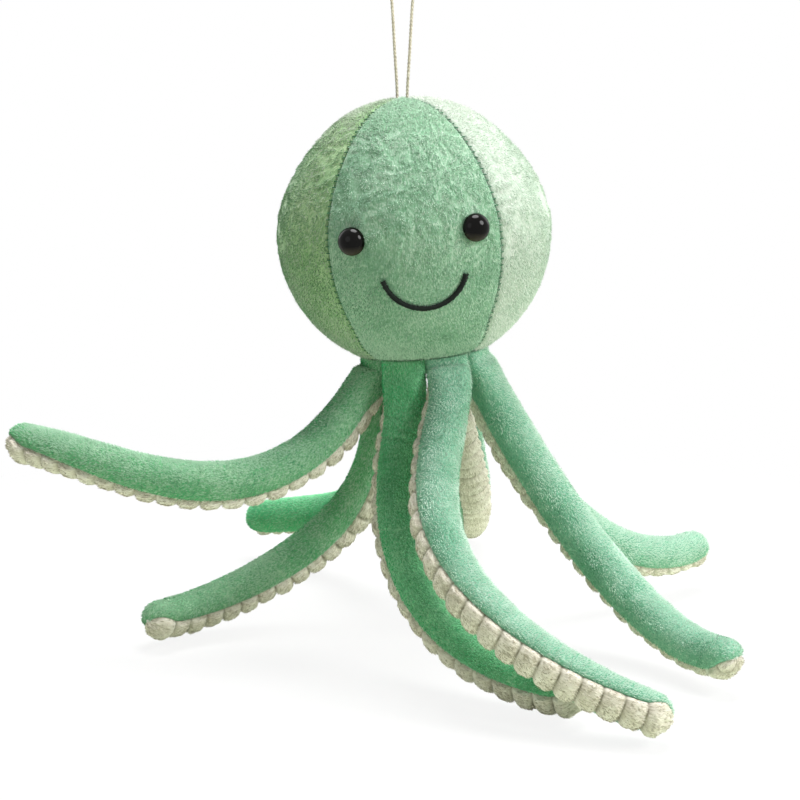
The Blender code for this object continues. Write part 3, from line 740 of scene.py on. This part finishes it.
places, normals, ways = [], [], []
for line, line_normals in gore_seams:
    distances = travelled(line)
    marks = np.arange(STITCH_PITCH / 2, distances[-1], STITCH_PITCH)
    place, normal, way = [points_at(marks, distances, values)
                          for values in (line, line_normals, np.gradient(line, axis=0))]
    way /= np.linalg.norm(way, axis=1)[:, None]
    places.append(place - normal * STITCH_SINK)
    normals.append(normal)
    ways.append(np.cross(normal, way))
head_stitches = laid_threads("gore_seam_stitches", np.concatenate(places), np.concatenate(ways),
                             np.concatenate(normals),
                             {"Length": STITCH_LENGTH, "Rise": STITCH_RISE, "Unevenness": 0.12,
                              "Seed": 7, "Material": seam_thread})
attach(head_stitches, "head")

# Arms
# Each is a tube of two fabrics, sewn along both sides, turned and stuffed: plush over the
# back and sides, and cream ribbed plush under it that is gathered over the round tip.
ROOT_RING_RADIUS = 0.0285
HINGE_DROP = 0.0086
ROOT_HALF_WIDTH = 0.0116
ROOT_HALF_DEPTH = 0.0070
ROOT_LENGTH = 0.035
SHOULDER_LENGTH = 0.006
CROTCH_LENGTH = 0.041
CORNER_POWER = 0.55
ROOT_OUTER_DEPTH = 0.0070
ROOT_INNER_DEPTH = 0.0085
ROOT_HALF_SECTOR = 22.3
ARM_RADII = ((0.0, 0.0100), (0.035, 0.0119), (0.13, 0.0122), (0.20, 0.0110), (0.24, 0.0099))
TIP_RADIUS = ARM_RADII[-1][1]
TIP_ANGLES = (22, 42, 60, 74, 84, 88.5)
UNDERSIDE_HALF_ANGLE = 58.0
UNDERSIDE_HALF_ANGLE_AT_TIP = 90.0
UNDERSIDE_AT_ROOT = 0.12
UNDERSIDE_OPENS = (-0.004, 0.022)
TIP_WRAP_LENGTH = 0.018
RIB_PITCH = 0.011
RIB_HEIGHT = 0.0029
RIB_SHARPNESS = 3.4
RIB_SETBACK = 0.0016
RIB_BOW = 0.0012
RIB_WALL = 0.0032
RIBS_RISE_WITHIN = 0.05
PLEAT_TURNS = 19.0
PLEAT_HEIGHT = 0.0005
ARM_STEP = 0.0042
PANEL_COLUMNS = 14
STRIP_COLUMNS = 8
ARM_SEAM_DEPTH = 0.0009
FIBRE_INSET = 0.0036
BEND_ABOVE_HINGE = 0.005
BEND_LENGTH = 0.026
# For each arm: its heading, its length, and its dips, headings and twists at five stations
ARMS = {
    "front_left": (-22.5, 0.233, (100, 62, 46, 20, 3), (-60, -7, 34, 56, 60), (90, 60, 28, 28, 32)),
    "front_right": (22.5, 0.255, (44, 47, 38, 26, 16), (14, -8, 38, 68, 87), (70, 66, 62, 68, 80)),
    "right_front": (67.5, 0.237, (63, 58, 48, 23, -22), (86, 83, 64, 42, 33), (-22, -22, -16, -10, -4)),
    "right_back": (112.5, 0.236, (66, 59, 43, 17, -4), (114, 115, 112, 124, 131), (0, 0, -4, -6, -6)),
    "back_right": (157.5, 0.238, (54, 51, 38, 30, 17), (160, 166, 173, 178, 179), (10, 20, 26, 28, 28)),
    "back_left": (-157.5, 0.236, (78, 60, 31, 14, 15), (-162, -161, -150, -134, -131), (0, 12, 30, 40, 40)),
    "left_back": (-112.5, 0.233, (107, 70, 41, 19, -12), (-112, -121, -91, -68, -33), (0, 0, -5, -20, -32)),
    "left_front": (-67.5, 0.237, (53, 32, -2, -12, -3), (-67, -70, -87, -108, -121), (-14, -4, 4, -14, -46)),
}


class ArmLine:
    """The centre line of an arm and its cross sections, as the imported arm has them."""

    def __init__(self, azimuth, length, dips, headings, twists):
        a = math.radians(azimuth)
        self.azimuth, self.length = a, length
        self.outward = TILT @ (math.sin(a), -math.cos(a), 0)
        self.axis = TILT @ (math.cos(a), math.sin(a), 0)
        self.hinge = HEAD_CENTRE - HEAD_UP * (NECK_DEPTH + HINGE_DROP) + self.outward * ROOT_RING_RADIUS
        steps = np.linspace(0, 1, 5)
        self.fits = [np.polyfit(steps, np.radians(v), 4) for v in (dips, headings, twists)]
        self.marks = np.linspace(0, length, 97)
        tangents = np.array([self.frame_at(s)[0] for s in self.marks])
        middles = (tangents[1:] + tangents[:-1]) / 2 * np.diff(self.marks)[:, None]
        self.line = np.vstack([np.zeros(3), np.cumsum(middles, axis=0)]) + self.hinge

    def frame_at(self, s):
        """The way along the arm, the way its plush side faces, and the way across it."""
        dip, heading, twist = [np.polyval(f, min(max(s / self.length, 0), 1)) for f in self.fits]
        level, steep = math.cos(dip), math.sin(dip)
        along = np.array((level * math.sin(heading), -level * math.cos(heading), -steep))
        upper = np.array((steep * math.sin(heading), -steep * math.cos(heading), level))
        side = np.cross(along, upper)
        middle = upper * math.cos(twist) - side * math.sin(twist)
        return along, middle, np.cross(along, middle)

    def place(self, s):
        return self.hinge - HEAD_UP * s if s < 0 else points_at(s, self.marks, self.line)

    def ring(self, s, cap, angles):
        """Points round the arm at these angles from the middle of its plush side."""
        along, middle, side = self.frame_at(max(s, 0))
        distances, radii = zip(*ARM_RADII)
        ways = np.cos(angles)[:, None] * middle + np.sin(angles)[:, None] * side
        reached = np.minimum(abs(ways @ self.axis), 1)
        full = np.interp(max(s, 0) * distances[-1] / self.length, distances, radii)
        wide = ROOT_HALF_WIDTH + (full - ROOT_HALF_WIDTH) * smoothstep(0, ROOT_LENGTH, s)
        deep = ROOT_HALF_DEPTH + (full - ROOT_HALF_DEPTH) * smoothstep(-HINGE_DROP, SHOULDER_LENGTH, s)
        radius = 1 / np.sqrt((reached / wide) ** 2 + (1 - reached**2) / deep**2)
        centre = self.place(s) + along * (TIP_RADIUS * cap)
        tube = ways * (radius * math.sqrt(max(1 - cap * cap, 0)))[:, None]
        if s > CROTCH_LENGTH:
            return centre + tube
        # At the neck an arm fills one eighth of the ring, with rounded corners
        level_middle = middle - HEAD_UP * (middle @ HEAD_UP)
        level_middle /= np.linalg.norm(level_middle)
        level_side = np.cross(-HEAD_UP, level_middle)
        ways = np.cos(angles)[:, None] * level_middle + np.sin(angles)[:, None] * level_side
        out, over = [np.sign(v) * abs(v) ** CORNER_POWER
                     for v in (ways @ self.outward, ways @ self.axis)]
        ring_radius = ROOT_RING_RADIUS + np.where(out > 0, ROOT_OUTER_DEPTH, ROOT_INNER_DEPTH) * out
        turn = self.azimuth + math.radians(ROOT_HALF_SECTOR) * over
        sector = np.stack([ring_radius * np.sin(turn), -ring_radius * np.cos(turn), np.zeros_like(turn)],
                          axis=-1)
        sector = sector @ TILT.T - self.outward * ROOT_RING_RADIUS
        aside, tube_aside = [(v @ self.axis)[:, None] * self.axis for v in (sector, tube)]
        soon = smoothstep(-HINGE_DROP, SHOULDER_LENGTH, s)
        late = smoothstep(-HINGE_DROP, CROTCH_LENGTH, s)
        return (centre + (sector - aside) * (1 - soon) + (tube - tube_aside) * soon
                + aside * (1 - late) + tube_aside * late)


def half_angle(arm, s, cap):
    """Half the angle that the ribbed strip takes up of the arm's round."""
    wrap = smoothstep(arm.length - TIP_WRAP_LENGTH, arm.length, s + max(cap, 0) * TIP_RADIUS)
    opened = UNDERSIDE_AT_ROOT + (1 - UNDERSIDE_AT_ROOT) * smoothstep(*UNDERSIDE_OPENS, s)
    wrapped = (UNDERSIDE_HALF_ANGLE_AT_TIP - UNDERSIDE_HALF_ANGLE) * wrap
    return opened * math.radians(UNDERSIDE_HALF_ANGLE + wrapped)


def ribbing_tree():
    """Geometry nodes: raises rounded ribs across a strip, and pleats the gathered end.

    The strip carries its distance along the arm, to its tip and to its seams."""
    tree, given = new_tree("ribbing", ("Pitch", "Height", "Sharpness", "Bow", "Unevenness"),
                           ("Material",))
    run, to_tip, across, to_side, outside = [
        add(tree, "GeometryNodeInputNamedAttribute", {"Name": name}, data_type="FLOAT")
        for name in ("run", "to_tip", "across", "seam_distance", "outside")]
    bent = add(tree, "ShaderNodeMath", (across, across), operation="MULTIPLY")
    bent = add(tree, "ShaderNodeMath", (bent, given["Bow"], run), operation="MULTIPLY_ADD")
    ribs = add(tree, "ShaderNodeMath", (bent, given["Pitch"]), operation="DIVIDE")
    number = add(tree, "ShaderNodeMath", (ribs,), operation="FLOOR")
    phase = add(tree, "ShaderNodeMath", (ribs, number), operation="SUBTRACT")
    off = add(tree, "ShaderNodeMath", (phase, 2.0, -1.0), operation="MULTIPLY_ADD")
    off = add(tree, "ShaderNodeMath", (off,), operation="ABSOLUTE")
    low = add(tree, "ShaderNodeMath", (off, given["Sharpness"]), operation="POWER")
    puff = add(tree, "ShaderNodeMath", (1.0, low), operation="SUBTRACT")
    least = add(tree, "ShaderNodeMath", (1.0, given["Unevenness"]), operation="SUBTRACT")
    most = add(tree, "ShaderNodeMath", (1.0, given["Unevenness"]), operation="ADD")
    size = add(tree, "FunctionNodeRandomValue",
               {2: least, 3: most, "ID": number, "Seed": given["Seed"]}, data_type="FLOAT").outputs[1]
    started = add(tree, "ShaderNodeMapRange", {"Value": run, "From Min": 0.0, "From Max": RIBS_RISE_WITHIN},
                  interpolation_type="SMOOTHSTEP")
    gathered = add(tree, "ShaderNodeMapRange",
                   {"Value": to_tip, "From Min": 0.008, "From Max": 0.014, "To Min": 1.0, "To Max": 0.0},
                   interpolation_type="SMOOTHSTEP")
    ribbed = add(tree, "ShaderNodeMath", (1.0, gathered), operation="SUBTRACT")
    ribbed = add(tree, "ShaderNodeMath", (ribbed, started), operation="MULTIPLY")
    domed = add(tree, "ShaderNodeMath", (gathered, 0.5), operation="MULTIPLY")
    edge = add(tree, "ShaderNodeMapRange", {"Value": to_side, "From Min": 0.0004, "From Max": 0.0028},
               interpolation_type="SMOOTHERSTEP")
    rise = add(tree, "ShaderNodeMath", (puff, size), operation="MULTIPLY")
    rise = add(tree, "ShaderNodeMath", (rise, ribbed, domed), operation="MULTIPLY_ADD")
    pleat = add(tree, "ShaderNodeMath", (across, PLEAT_TURNS), operation="MULTIPLY")
    pleat = add(tree, "ShaderNodeMath", (pleat,), operation="COSINE")
    for factor in (edge, given["Height"]):
        rise = add(tree, "ShaderNodeMath", (rise, factor), operation="MULTIPLY")
    for factor in (gathered, edge):
        pleat = add(tree, "ShaderNodeMath", (pleat, factor), operation="MULTIPLY")
    rise = add(tree, "ShaderNodeMath", (pleat, PLEAT_HEIGHT, rise), operation="MULTIPLY_ADD")
    uneven = add(tree, "ShaderNodeTexNoise", {"Scale": 420.0, "Detail": 2.0})
    uneven = add(tree, "ShaderNodeMapRange", {"Value": uneven, "To Min": -0.0008, "To Max": 0.0008})
    rise = add(tree, "ShaderNodeMath", (uneven, edge, rise), operation="MULTIPLY_ADD")
    rise = add(tree, "ShaderNodeMath", (rise, outside), operation="MULTIPLY")
    shift = add(tree, "ShaderNodeVectorMath", {0: add(tree, "GeometryNodeInputNormal"), "Scale": rise},
                operation="SCALE")
    raised = add(tree, "GeometryNodeSetPosition", {"Geometry": given["Geometry"], "Offset": shift})
    # Painted shade for the material: the groove value is high in each groove and next to the seams, under
    # the overhanging green pile
    deep = add(tree, "ShaderNodeMath", (off, 9.0), operation="POWER")
    deep = add(tree, "ShaderNodeMath", (deep, ribbed), operation="MULTIPLY")
    beside = add(tree, "ShaderNodeMapRange",
                 {"Value": to_side, "From Max": 0.0007, "To Min": 0.6, "To Max": 0.0})
    deep = add(tree, "ShaderNodeMath", (deep, beside), operation="MAXIMUM")
    stored = add(tree, "GeometryNodeStoreNamedAttribute",
                 {"Geometry": raised, "Name": "groove", "Value": deep}, data_type="FLOAT", domain="POINT")
    real = add(tree, "GeometryNodeRealizeInstances", {"Geometry": stored})
    dressed = add(tree, "GeometryNodeSetMaterial", {"Geometry": real, "Material": given["Material"]})
    add(tree, "NodeGroupOutput", (dressed,))
    return tree


ribbing = ribbing_tree()

# The left arms are painted a deeper, more saturated green: painted shade on the arms turned
# from the lamps, deepest on the two that face furthest from the light
arm_plush = plush_material("mint_plush_along_arm", "#539072", "#7cb195", "#b2d3bf")
painted_half_shade_plush = plush_material("mint_plush_nap_outward", "#4f8a65", "#79ab84", "#aecfb0")
painted_shade_arm_plush = plush_material("mint_plush_nap_against_light", "#40875a", "#67a67b", "#9fd1a8")
ARM_FABRICS = {"front_left": painted_shade_arm_plush, "back_left": painted_shade_arm_plush, "left_front": painted_half_shade_plush,
               "left_back": painted_half_shade_plush}

# Cut polyester pile on a ribbed knit, cream: fine streaks where the pile lies along the
# arm, and painted grey-brown shade down in the grooves and beside the seams
ribbed_plush, tree, shader = new_material("cream_ribbed_plush")
weave = add(tree, "ShaderNodeUVMap", uv_map="fabric")
stretched = add(tree, "ShaderNodeMapping", {"Vector": weave, "Scale": (1.0, 0.22, 1.0)})
streaks = add(tree, "ShaderNodeTexNoise",
              {"Vector": stretched, "Scale": 1100.0, "Detail": 3.0, "Roughness": 0.6})
spot = add(tree, "ShaderNodeTexCoord").outputs["Object"]
clouds = add(tree, "ShaderNodeTexNoise", {"Vector": spot, "Scale": 90.0, "Detail": 2.0})
mixed = 0.0
for layer, share in ((clouds, 0.35), (streaks, 0.65)):
    mixed = add(tree, "ShaderNodeMath", (layer, share, mixed), operation="MULTIPLY_ADD")
pile = add(tree, "ShaderNodeValToRGB", {"Fac": mixed},
           ((0.36, "#bdb5a2"), (0.5, "#ddd6c7"), (0.66, "#f1ece1")))
groove = add(tree, "ShaderNodeAttribute", attribute_name="groove").outputs["Fac"]
# Painted shade: toward #8a8370 where the groove value is high, in the grooves and beside the seams
shaded = add(tree, "ShaderNodeMix", {0: groove, 6: pile, 7: linear("#8a8370")}, data_type="RGBA")
bump = add(tree, "ShaderNodeBump", {"Height": mixed, "Distance": 0.0010, "Strength": 0.8})
feed(tree, shader, {"Base Color": shaded.outputs[2], "Roughness": 0.95, "Specular IOR Level": 0.15,
                    "Sheen Weight": 0.35, "Sheen Roughness": 0.5, "Normal": bump})

# Loose polyester fibre, packed by hand: a dull white tangle
fibre_fill = fine_grained("white_polyester_fibre", {"Scale": 260.0, "Detail": 5.0, "Distortion": 1.5},
                          ((0.3, "#dcdcd6"), (0.7, "#f4f4f0")), {"Roughness": 1.0}, {"Distance": 0.001})
for place in bpy.data.objects["head_filling"].material_slots:
    place.material = fibre_fill

# The front left arm is pressed together below its root, in a few folds across it
FOLDED_ARM = "front_left"
FOLD_PITCH = 0.0062
FOLD_DEPTH = 0.0009
FOLD_WIDTH = 0.0007
FOLD_BOW = 0.0012
FOLD_WANDER = 190.0
FOLDS_BEGIN = (0.014, 0.020)
FOLDS_END = (0.040, 0.052)
NO_CREASE = 1.0

# The pile hangs over the seams. The arms' pile has more light tips on the side that faces up and to the
# right: painted light from the key and top lamps
PILE_OVERHANG = 0.0004
ARM_PAINTED_LIGHT = 0.8
PAINTED_LIGHT_FROM = 0.2
PAINTED_LIGHT_SIDE = np.array((0.55, -0.15, 0.82))


def lengthwise(grid):
    """The way along the arm at each point of both sides of a piece."""
    ways = np.gradient(grid, axis=0)
    ways /= np.maximum(np.linalg.norm(ways, axis=2, keepdims=True), 1e-9)
    return np.tile(ways.reshape(-1, 3), (2, 1))


arm_covers = []
for number, (name, values) in enumerate(ARMS.items()):
    arm = ArmLine(*values)
    body_end = arm.length - TIP_RADIUS
    count = round((body_end + HINGE_DROP) / ARM_STEP)
    stations = [(s, 0.0) for s in np.linspace(-HINGE_DROP, body_end, count + 1)]
    stations += [(body_end, math.sin(a)) for a in np.radians(TIP_ANGLES)]
    rings = []
    for s, cap in stations:
        half = half_angle(arm, s, cap)
        plush_angles = np.linspace(half - math.pi, math.pi - half, PANEL_COLUMNS + 1)[:-1]
        strip_angles = np.linspace(math.pi - half, math.pi + half, STRIP_COLUMNS + 1)[:-1]
        rings.append(np.concatenate([arm.ring(s, cap, plush_angles), arm.ring(s, cap, strip_angles)]))
    rings = np.array(rings)
    held = np.zeros(rings.shape[:2], bool)
    held[:, (0, PANEL_COLUMNS)] = True
    held[:3] = True
    held[-2:] = True
    stuffed = settled(rings, held)
    distance = np.array([s + cap * TIP_RADIUS for s, cap in stations])[:, None, None].repeat(2, axis=2)

    # Plush side
    patch = refined(stuffed[:, :PANEL_COLUMNS + 1], 3, 3)
    run = refine(distance, 3)[:, 0, :1] * np.ones(patch.shape[1])
    over = travelled(patch, 1)
    to_side = np.minimum(over, over[:, -1:] - over)
    to_seam = np.minimum(to_side, run + HINGE_DROP)
    normals = grid_normals(patch)
    dip = -ARM_SEAM_DEPTH * np.exp(-(to_side / SEAM_ROLL) ** 1.5)
    folds = np.full(run.shape, NO_CREASE)
    if name == FOLDED_ARM:
        wave = np.abs(np.sin(math.pi * (run + FOLD_BOW * np.sin(over * FOLD_WANDER)) / FOLD_PITCH))
        folded = smoothstep(*FOLDS_BEGIN, run) * (1 - smoothstep(*FOLDS_END, run))
        folds = FOLD_PITCH * wave / 3 + 0.1 * (1 - folded)
        dip = dip - FOLD_DEPTH * np.exp(-(folds / FOLD_WIDTH) ** 2) * smoothstep(0.001, 0.004, to_side)
    outer = patch + normals * dip[..., None]
    flat = np.stack([over - over[:, -1:] / 2, run], axis=-1)
    covered = cover(name + "_arm_cover", outer, outer - normals * PLUSH_WALL,
                    ARM_FABRICS.get(name, arm_plush), flat,
                    {"seam_distance": to_seam + PILE_OVERHANG, "crease_distance": folds})
    store(covered, "nap", lengthwise(outer))
    # Painted light: more light tips where the cover faces up and right toward the lamps, painted shade where
    # it faces away
    lit_share = ARM_PAINTED_LIGHT * (grid_normals(outer) @ PAINTED_LIGHT_SIDE - PAINTED_LIGHT_FROM)
    store(covered, "paleness", np.tile(lit_share.reshape(-1), 2))

    # Ribbed side
    patch = refined(np.concatenate([stuffed[:, PANEL_COLUMNS:], stuffed[:, :1]], axis=1), 5, 3)
    run = refine(distance, 5)[:, 0, :1] * np.ones(patch.shape[1])
    over = travelled(patch, 1)
    width = over[:, -1:]
    down = travelled(patch)
    normals = grid_normals(patch)
    outer = patch - normals * (RIB_SETBACK * smoothstep(0, RIBS_RISE_WITHIN, run))[..., None]
    flat = np.stack([over - width / 2, run], axis=-1)
    strip = cover(name + "_arm_strip", outer, patch - normals * RIB_WALL, ribbed_plush, flat,
                  {"run": run, "to_tip": down[-1:] - down, "across": 2 * over / width - 1,
                   "seam_distance": np.minimum(over, width - over) + PILE_OVERHANG,
                   "crease_distance": np.full(run.shape, NO_CREASE)})
    store(strip, "outside", np.repeat((1.0, 0.0), run.size))
    ribbed = grown(name + "_arm_ribs", strip, ribbing,
                   {"Pitch": RIB_PITCH, "Height": RIB_HEIGHT, "Sharpness": RIB_SHARPNESS, "Bow": RIB_BOW,
                    "Unevenness": 0.15, "Seed": number + 3, "Material": ribbed_plush})
    bpy.data.objects.remove(strip, do_unlink=True)
    store(ribbed, "nap", lengthwise(patch))
    store(ribbed, "paleness", np.zeros(2 * run.size))

    # Filling
    inward = stuffed.mean(axis=1, keepdims=True) - stuffed
    depth = np.linalg.norm(inward, axis=2, keepdims=True)
    core = stuffed + inward / np.maximum(depth, 1e-9) * np.minimum(FIBRE_INSET, 0.75 * depth)
    core = core[2:-2]
    filled = mesh_object(name + "_arm_fibre", core, tube_faces(*core.shape[:2]), fibre_fill)

    start = (arm.hinge + HEAD_UP * BEND_ABOVE_HINGE).tolist()
    end = arm.place(BEND_LENGTH).tolist()
    for obj, slot, node in ((covered, "mint_plush", "plush"), (ribbed, "cream_ribbed_plush", "underside"),
                            (filled, "polyester_filling", "filling")):
        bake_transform(obj)
        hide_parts(f"{name}_arm_{node}")
    arm_covers.append((name, covered, ribbed, start, end))

# Arm pile
# The same brushed tufts as on the head. Their nap runs down the arm to its tip, and lies
# flatter and straighter on the ribs.
RIB_TUFT_LEAN = 2.6
RIB_TUFT_SWIRL = 0.5
RIB_TUFT_SHARE = 0.7
arm_fibres = fibres("arm", "#7abb96", "#d2e6d8")
# The left arms' tones are painted deeper green: painted shade on the arms turned from the lamps
painted_shade_arm_fibres = fibres("deep", "#4fc281", "#8de0aa")
painted_half_shade_fibres = fibres("side", "#54b073", "#a6caae")
rib_fibres = fibres("rib", "#aea58f", "#efe9dd")
for number, (name, covered, ribbed, start, end) in enumerate(arm_covers):
    tones = {painted_shade_arm_plush: painted_shade_arm_fibres, painted_half_shade_plush: painted_half_shade_fibres}.get(ARM_FABRICS.get(name), arm_fibres)
    arm_pile = brushed(name + "_arm_pile", covered, tones, number + 20)
    rib_pile = brushed(name + "_rib_pile", ribbed, rib_fibres, number + 20,
                       RIB_TUFT_LEAN, RIB_TUFT_SWIRL, RIB_TUFT_SHARE)
    for pile, slot in ((arm_pile, "mint_plush"), (rib_pile, "cream_ribbed_plush")):
        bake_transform(pile)

# Base disc
# A small plush disc, sewn inside the ring of arm roots, closes the neck from below.
BASE_RADIUS = 0.0185
BASE_EDGE = 0.001
BASE_DEPTH = 0.0018
POLE_RADIUS = 0.0003
inside = BASE_RADIUS - BASE_EDGE
profile = [(POLE_RADIUS, 0.0), (inside, 0.0), (BASE_RADIUS, -0.0008), (inside, -BASE_DEPTH)]
for t in np.linspace(0.1, 1, 10):
    profile.append((max(inside * math.cos(t * math.pi / 2), POLE_RADIUS),
                    -BASE_DEPTH - BASE_DEPTH * math.sin(t * math.pi / 2)))
points, faces = turned(profile[::-1], 48, HEAD_CENTRE - HEAD_UP * NECK_DEPTH, HEAD_UP)
disc = mesh_object("base_disc_cover", points, faces, arm_plush)
store(disc, "seam_distance", np.full(len(points), 0.01))
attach(disc, "head")
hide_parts("base_disc")

# Studio
# A pale paper floor just under the arm tips throws a little green light up at the toy. Soft
# lamps stand right, above and behind, and the surround is white.
FLOOR_DROP = 0.004
FLOOR_HALF = 3.0


def seen_as_white(tree):
    """1 on rays that show the background: straight ones, and those off gloss or through glass."""
    rays = add(tree, "ShaderNodeLightPath").outputs
    sight = add(tree, "ShaderNodeMath", (rays["Is Camera Ray"], rays["Is Glossy Ray"]), operation="MAXIMUM")
    return add(tree, "ShaderNodeMath", (sight, rays["Is Transmission Ray"]), operation="MAXIMUM")


# Matt paper: it shows near white with the toy's soft shadow, and fades to white further out
floor_material, tree, shader = new_material("pale_paper_sweep")
rays = add(tree, "ShaderNodeLightPath").outputs
spot = add(tree, "ShaderNodeTexCoord").outputs["Object"]
away = add(tree, "ShaderNodeVectorMath", (spot,), operation="LENGTH").outputs["Value"]
away = add(tree, "ShaderNodeMapRange",
           {"Value": away, "From Min": 0.42, "From Max": 0.62, "To Min": 0.87, "To Max": 1.0},
           interpolation_type="SMOOTHSTEP")
paper = add(tree, "ShaderNodeMix", {0: rays["Is Camera Ray"], 6: linear("#e6f2da"), 7: linear("#f6f6f4")},
            data_type="RGBA")
feed(tree, shader, {"Base Color": paper.outputs[2], "Roughness": 0.9})
white = add(tree, "ShaderNodeEmission", {"Color": (1, 1, 1, 1), "Strength": 1.0})
share = add(tree, "ShaderNodeMath", (seen_as_white(tree), away), operation="MULTIPLY")
mix = add(tree, "ShaderNodeMixShader", (share, shader, white))
feed(tree, tree.nodes["Material Output"], {"Surface": mix})
low = cad_box[0][2] - FLOOR_DROP
corners = [(x * FLOOR_HALF, y * FLOOR_HALF, low) for x, y in ((-1, -1), (1, -1), (1, 1), (-1, 1))]
floor = mesh_object("floor", corners, [(0, 1, 2, 3)], floor_material)

world = bpy.data.worlds.new("white_surround")
scene.world = world
world.use_nodes = True
tree = world.node_tree
strength = add(tree, "ShaderNodeMapRange", {"Value": seen_as_white(tree), "To Min": 0.10, "To Max": 1.0})
feed(tree, tree.nodes["Background"], {"Color": (1, 1, 1, 1), "Strength": strength})

# Name, place, width and power of each lamp
LAMPS = (
    ("key_lamp", (1.15, -0.60, 0.65), 0.7, 21.0),
    ("fill_lamp", (-0.9, -1.0, 0.3), 0.9, 2.0),
    ("top_lamp", (0.1, 0.10, 1.1), 0.8, 23.0),
    ("back_lamp_right", (0.85, 0.85, 0.35), 0.9, 3.0),
    ("back_lamp_left", (-0.85, 0.85, 0.35), 0.9, 3.0),
)
for name, place, size, power in LAMPS:
    lamp = bpy.data.lights.new(name, "AREA")
    lamp.shape = "DISK"
    lamp.size = size
    lamp.energy = power
    lamp_object = bpy.data.objects.new(name, lamp)
    lamp_object.location = place
    aim = Vector((0, 0, -0.2)) - Vector(place)
    lamp_object.rotation_euler = aim.to_track_quat("-Z", "Y").to_euler()
    scene.collection.objects.link(lamp_object)
scene.view_settings.view_transform = "Standard"
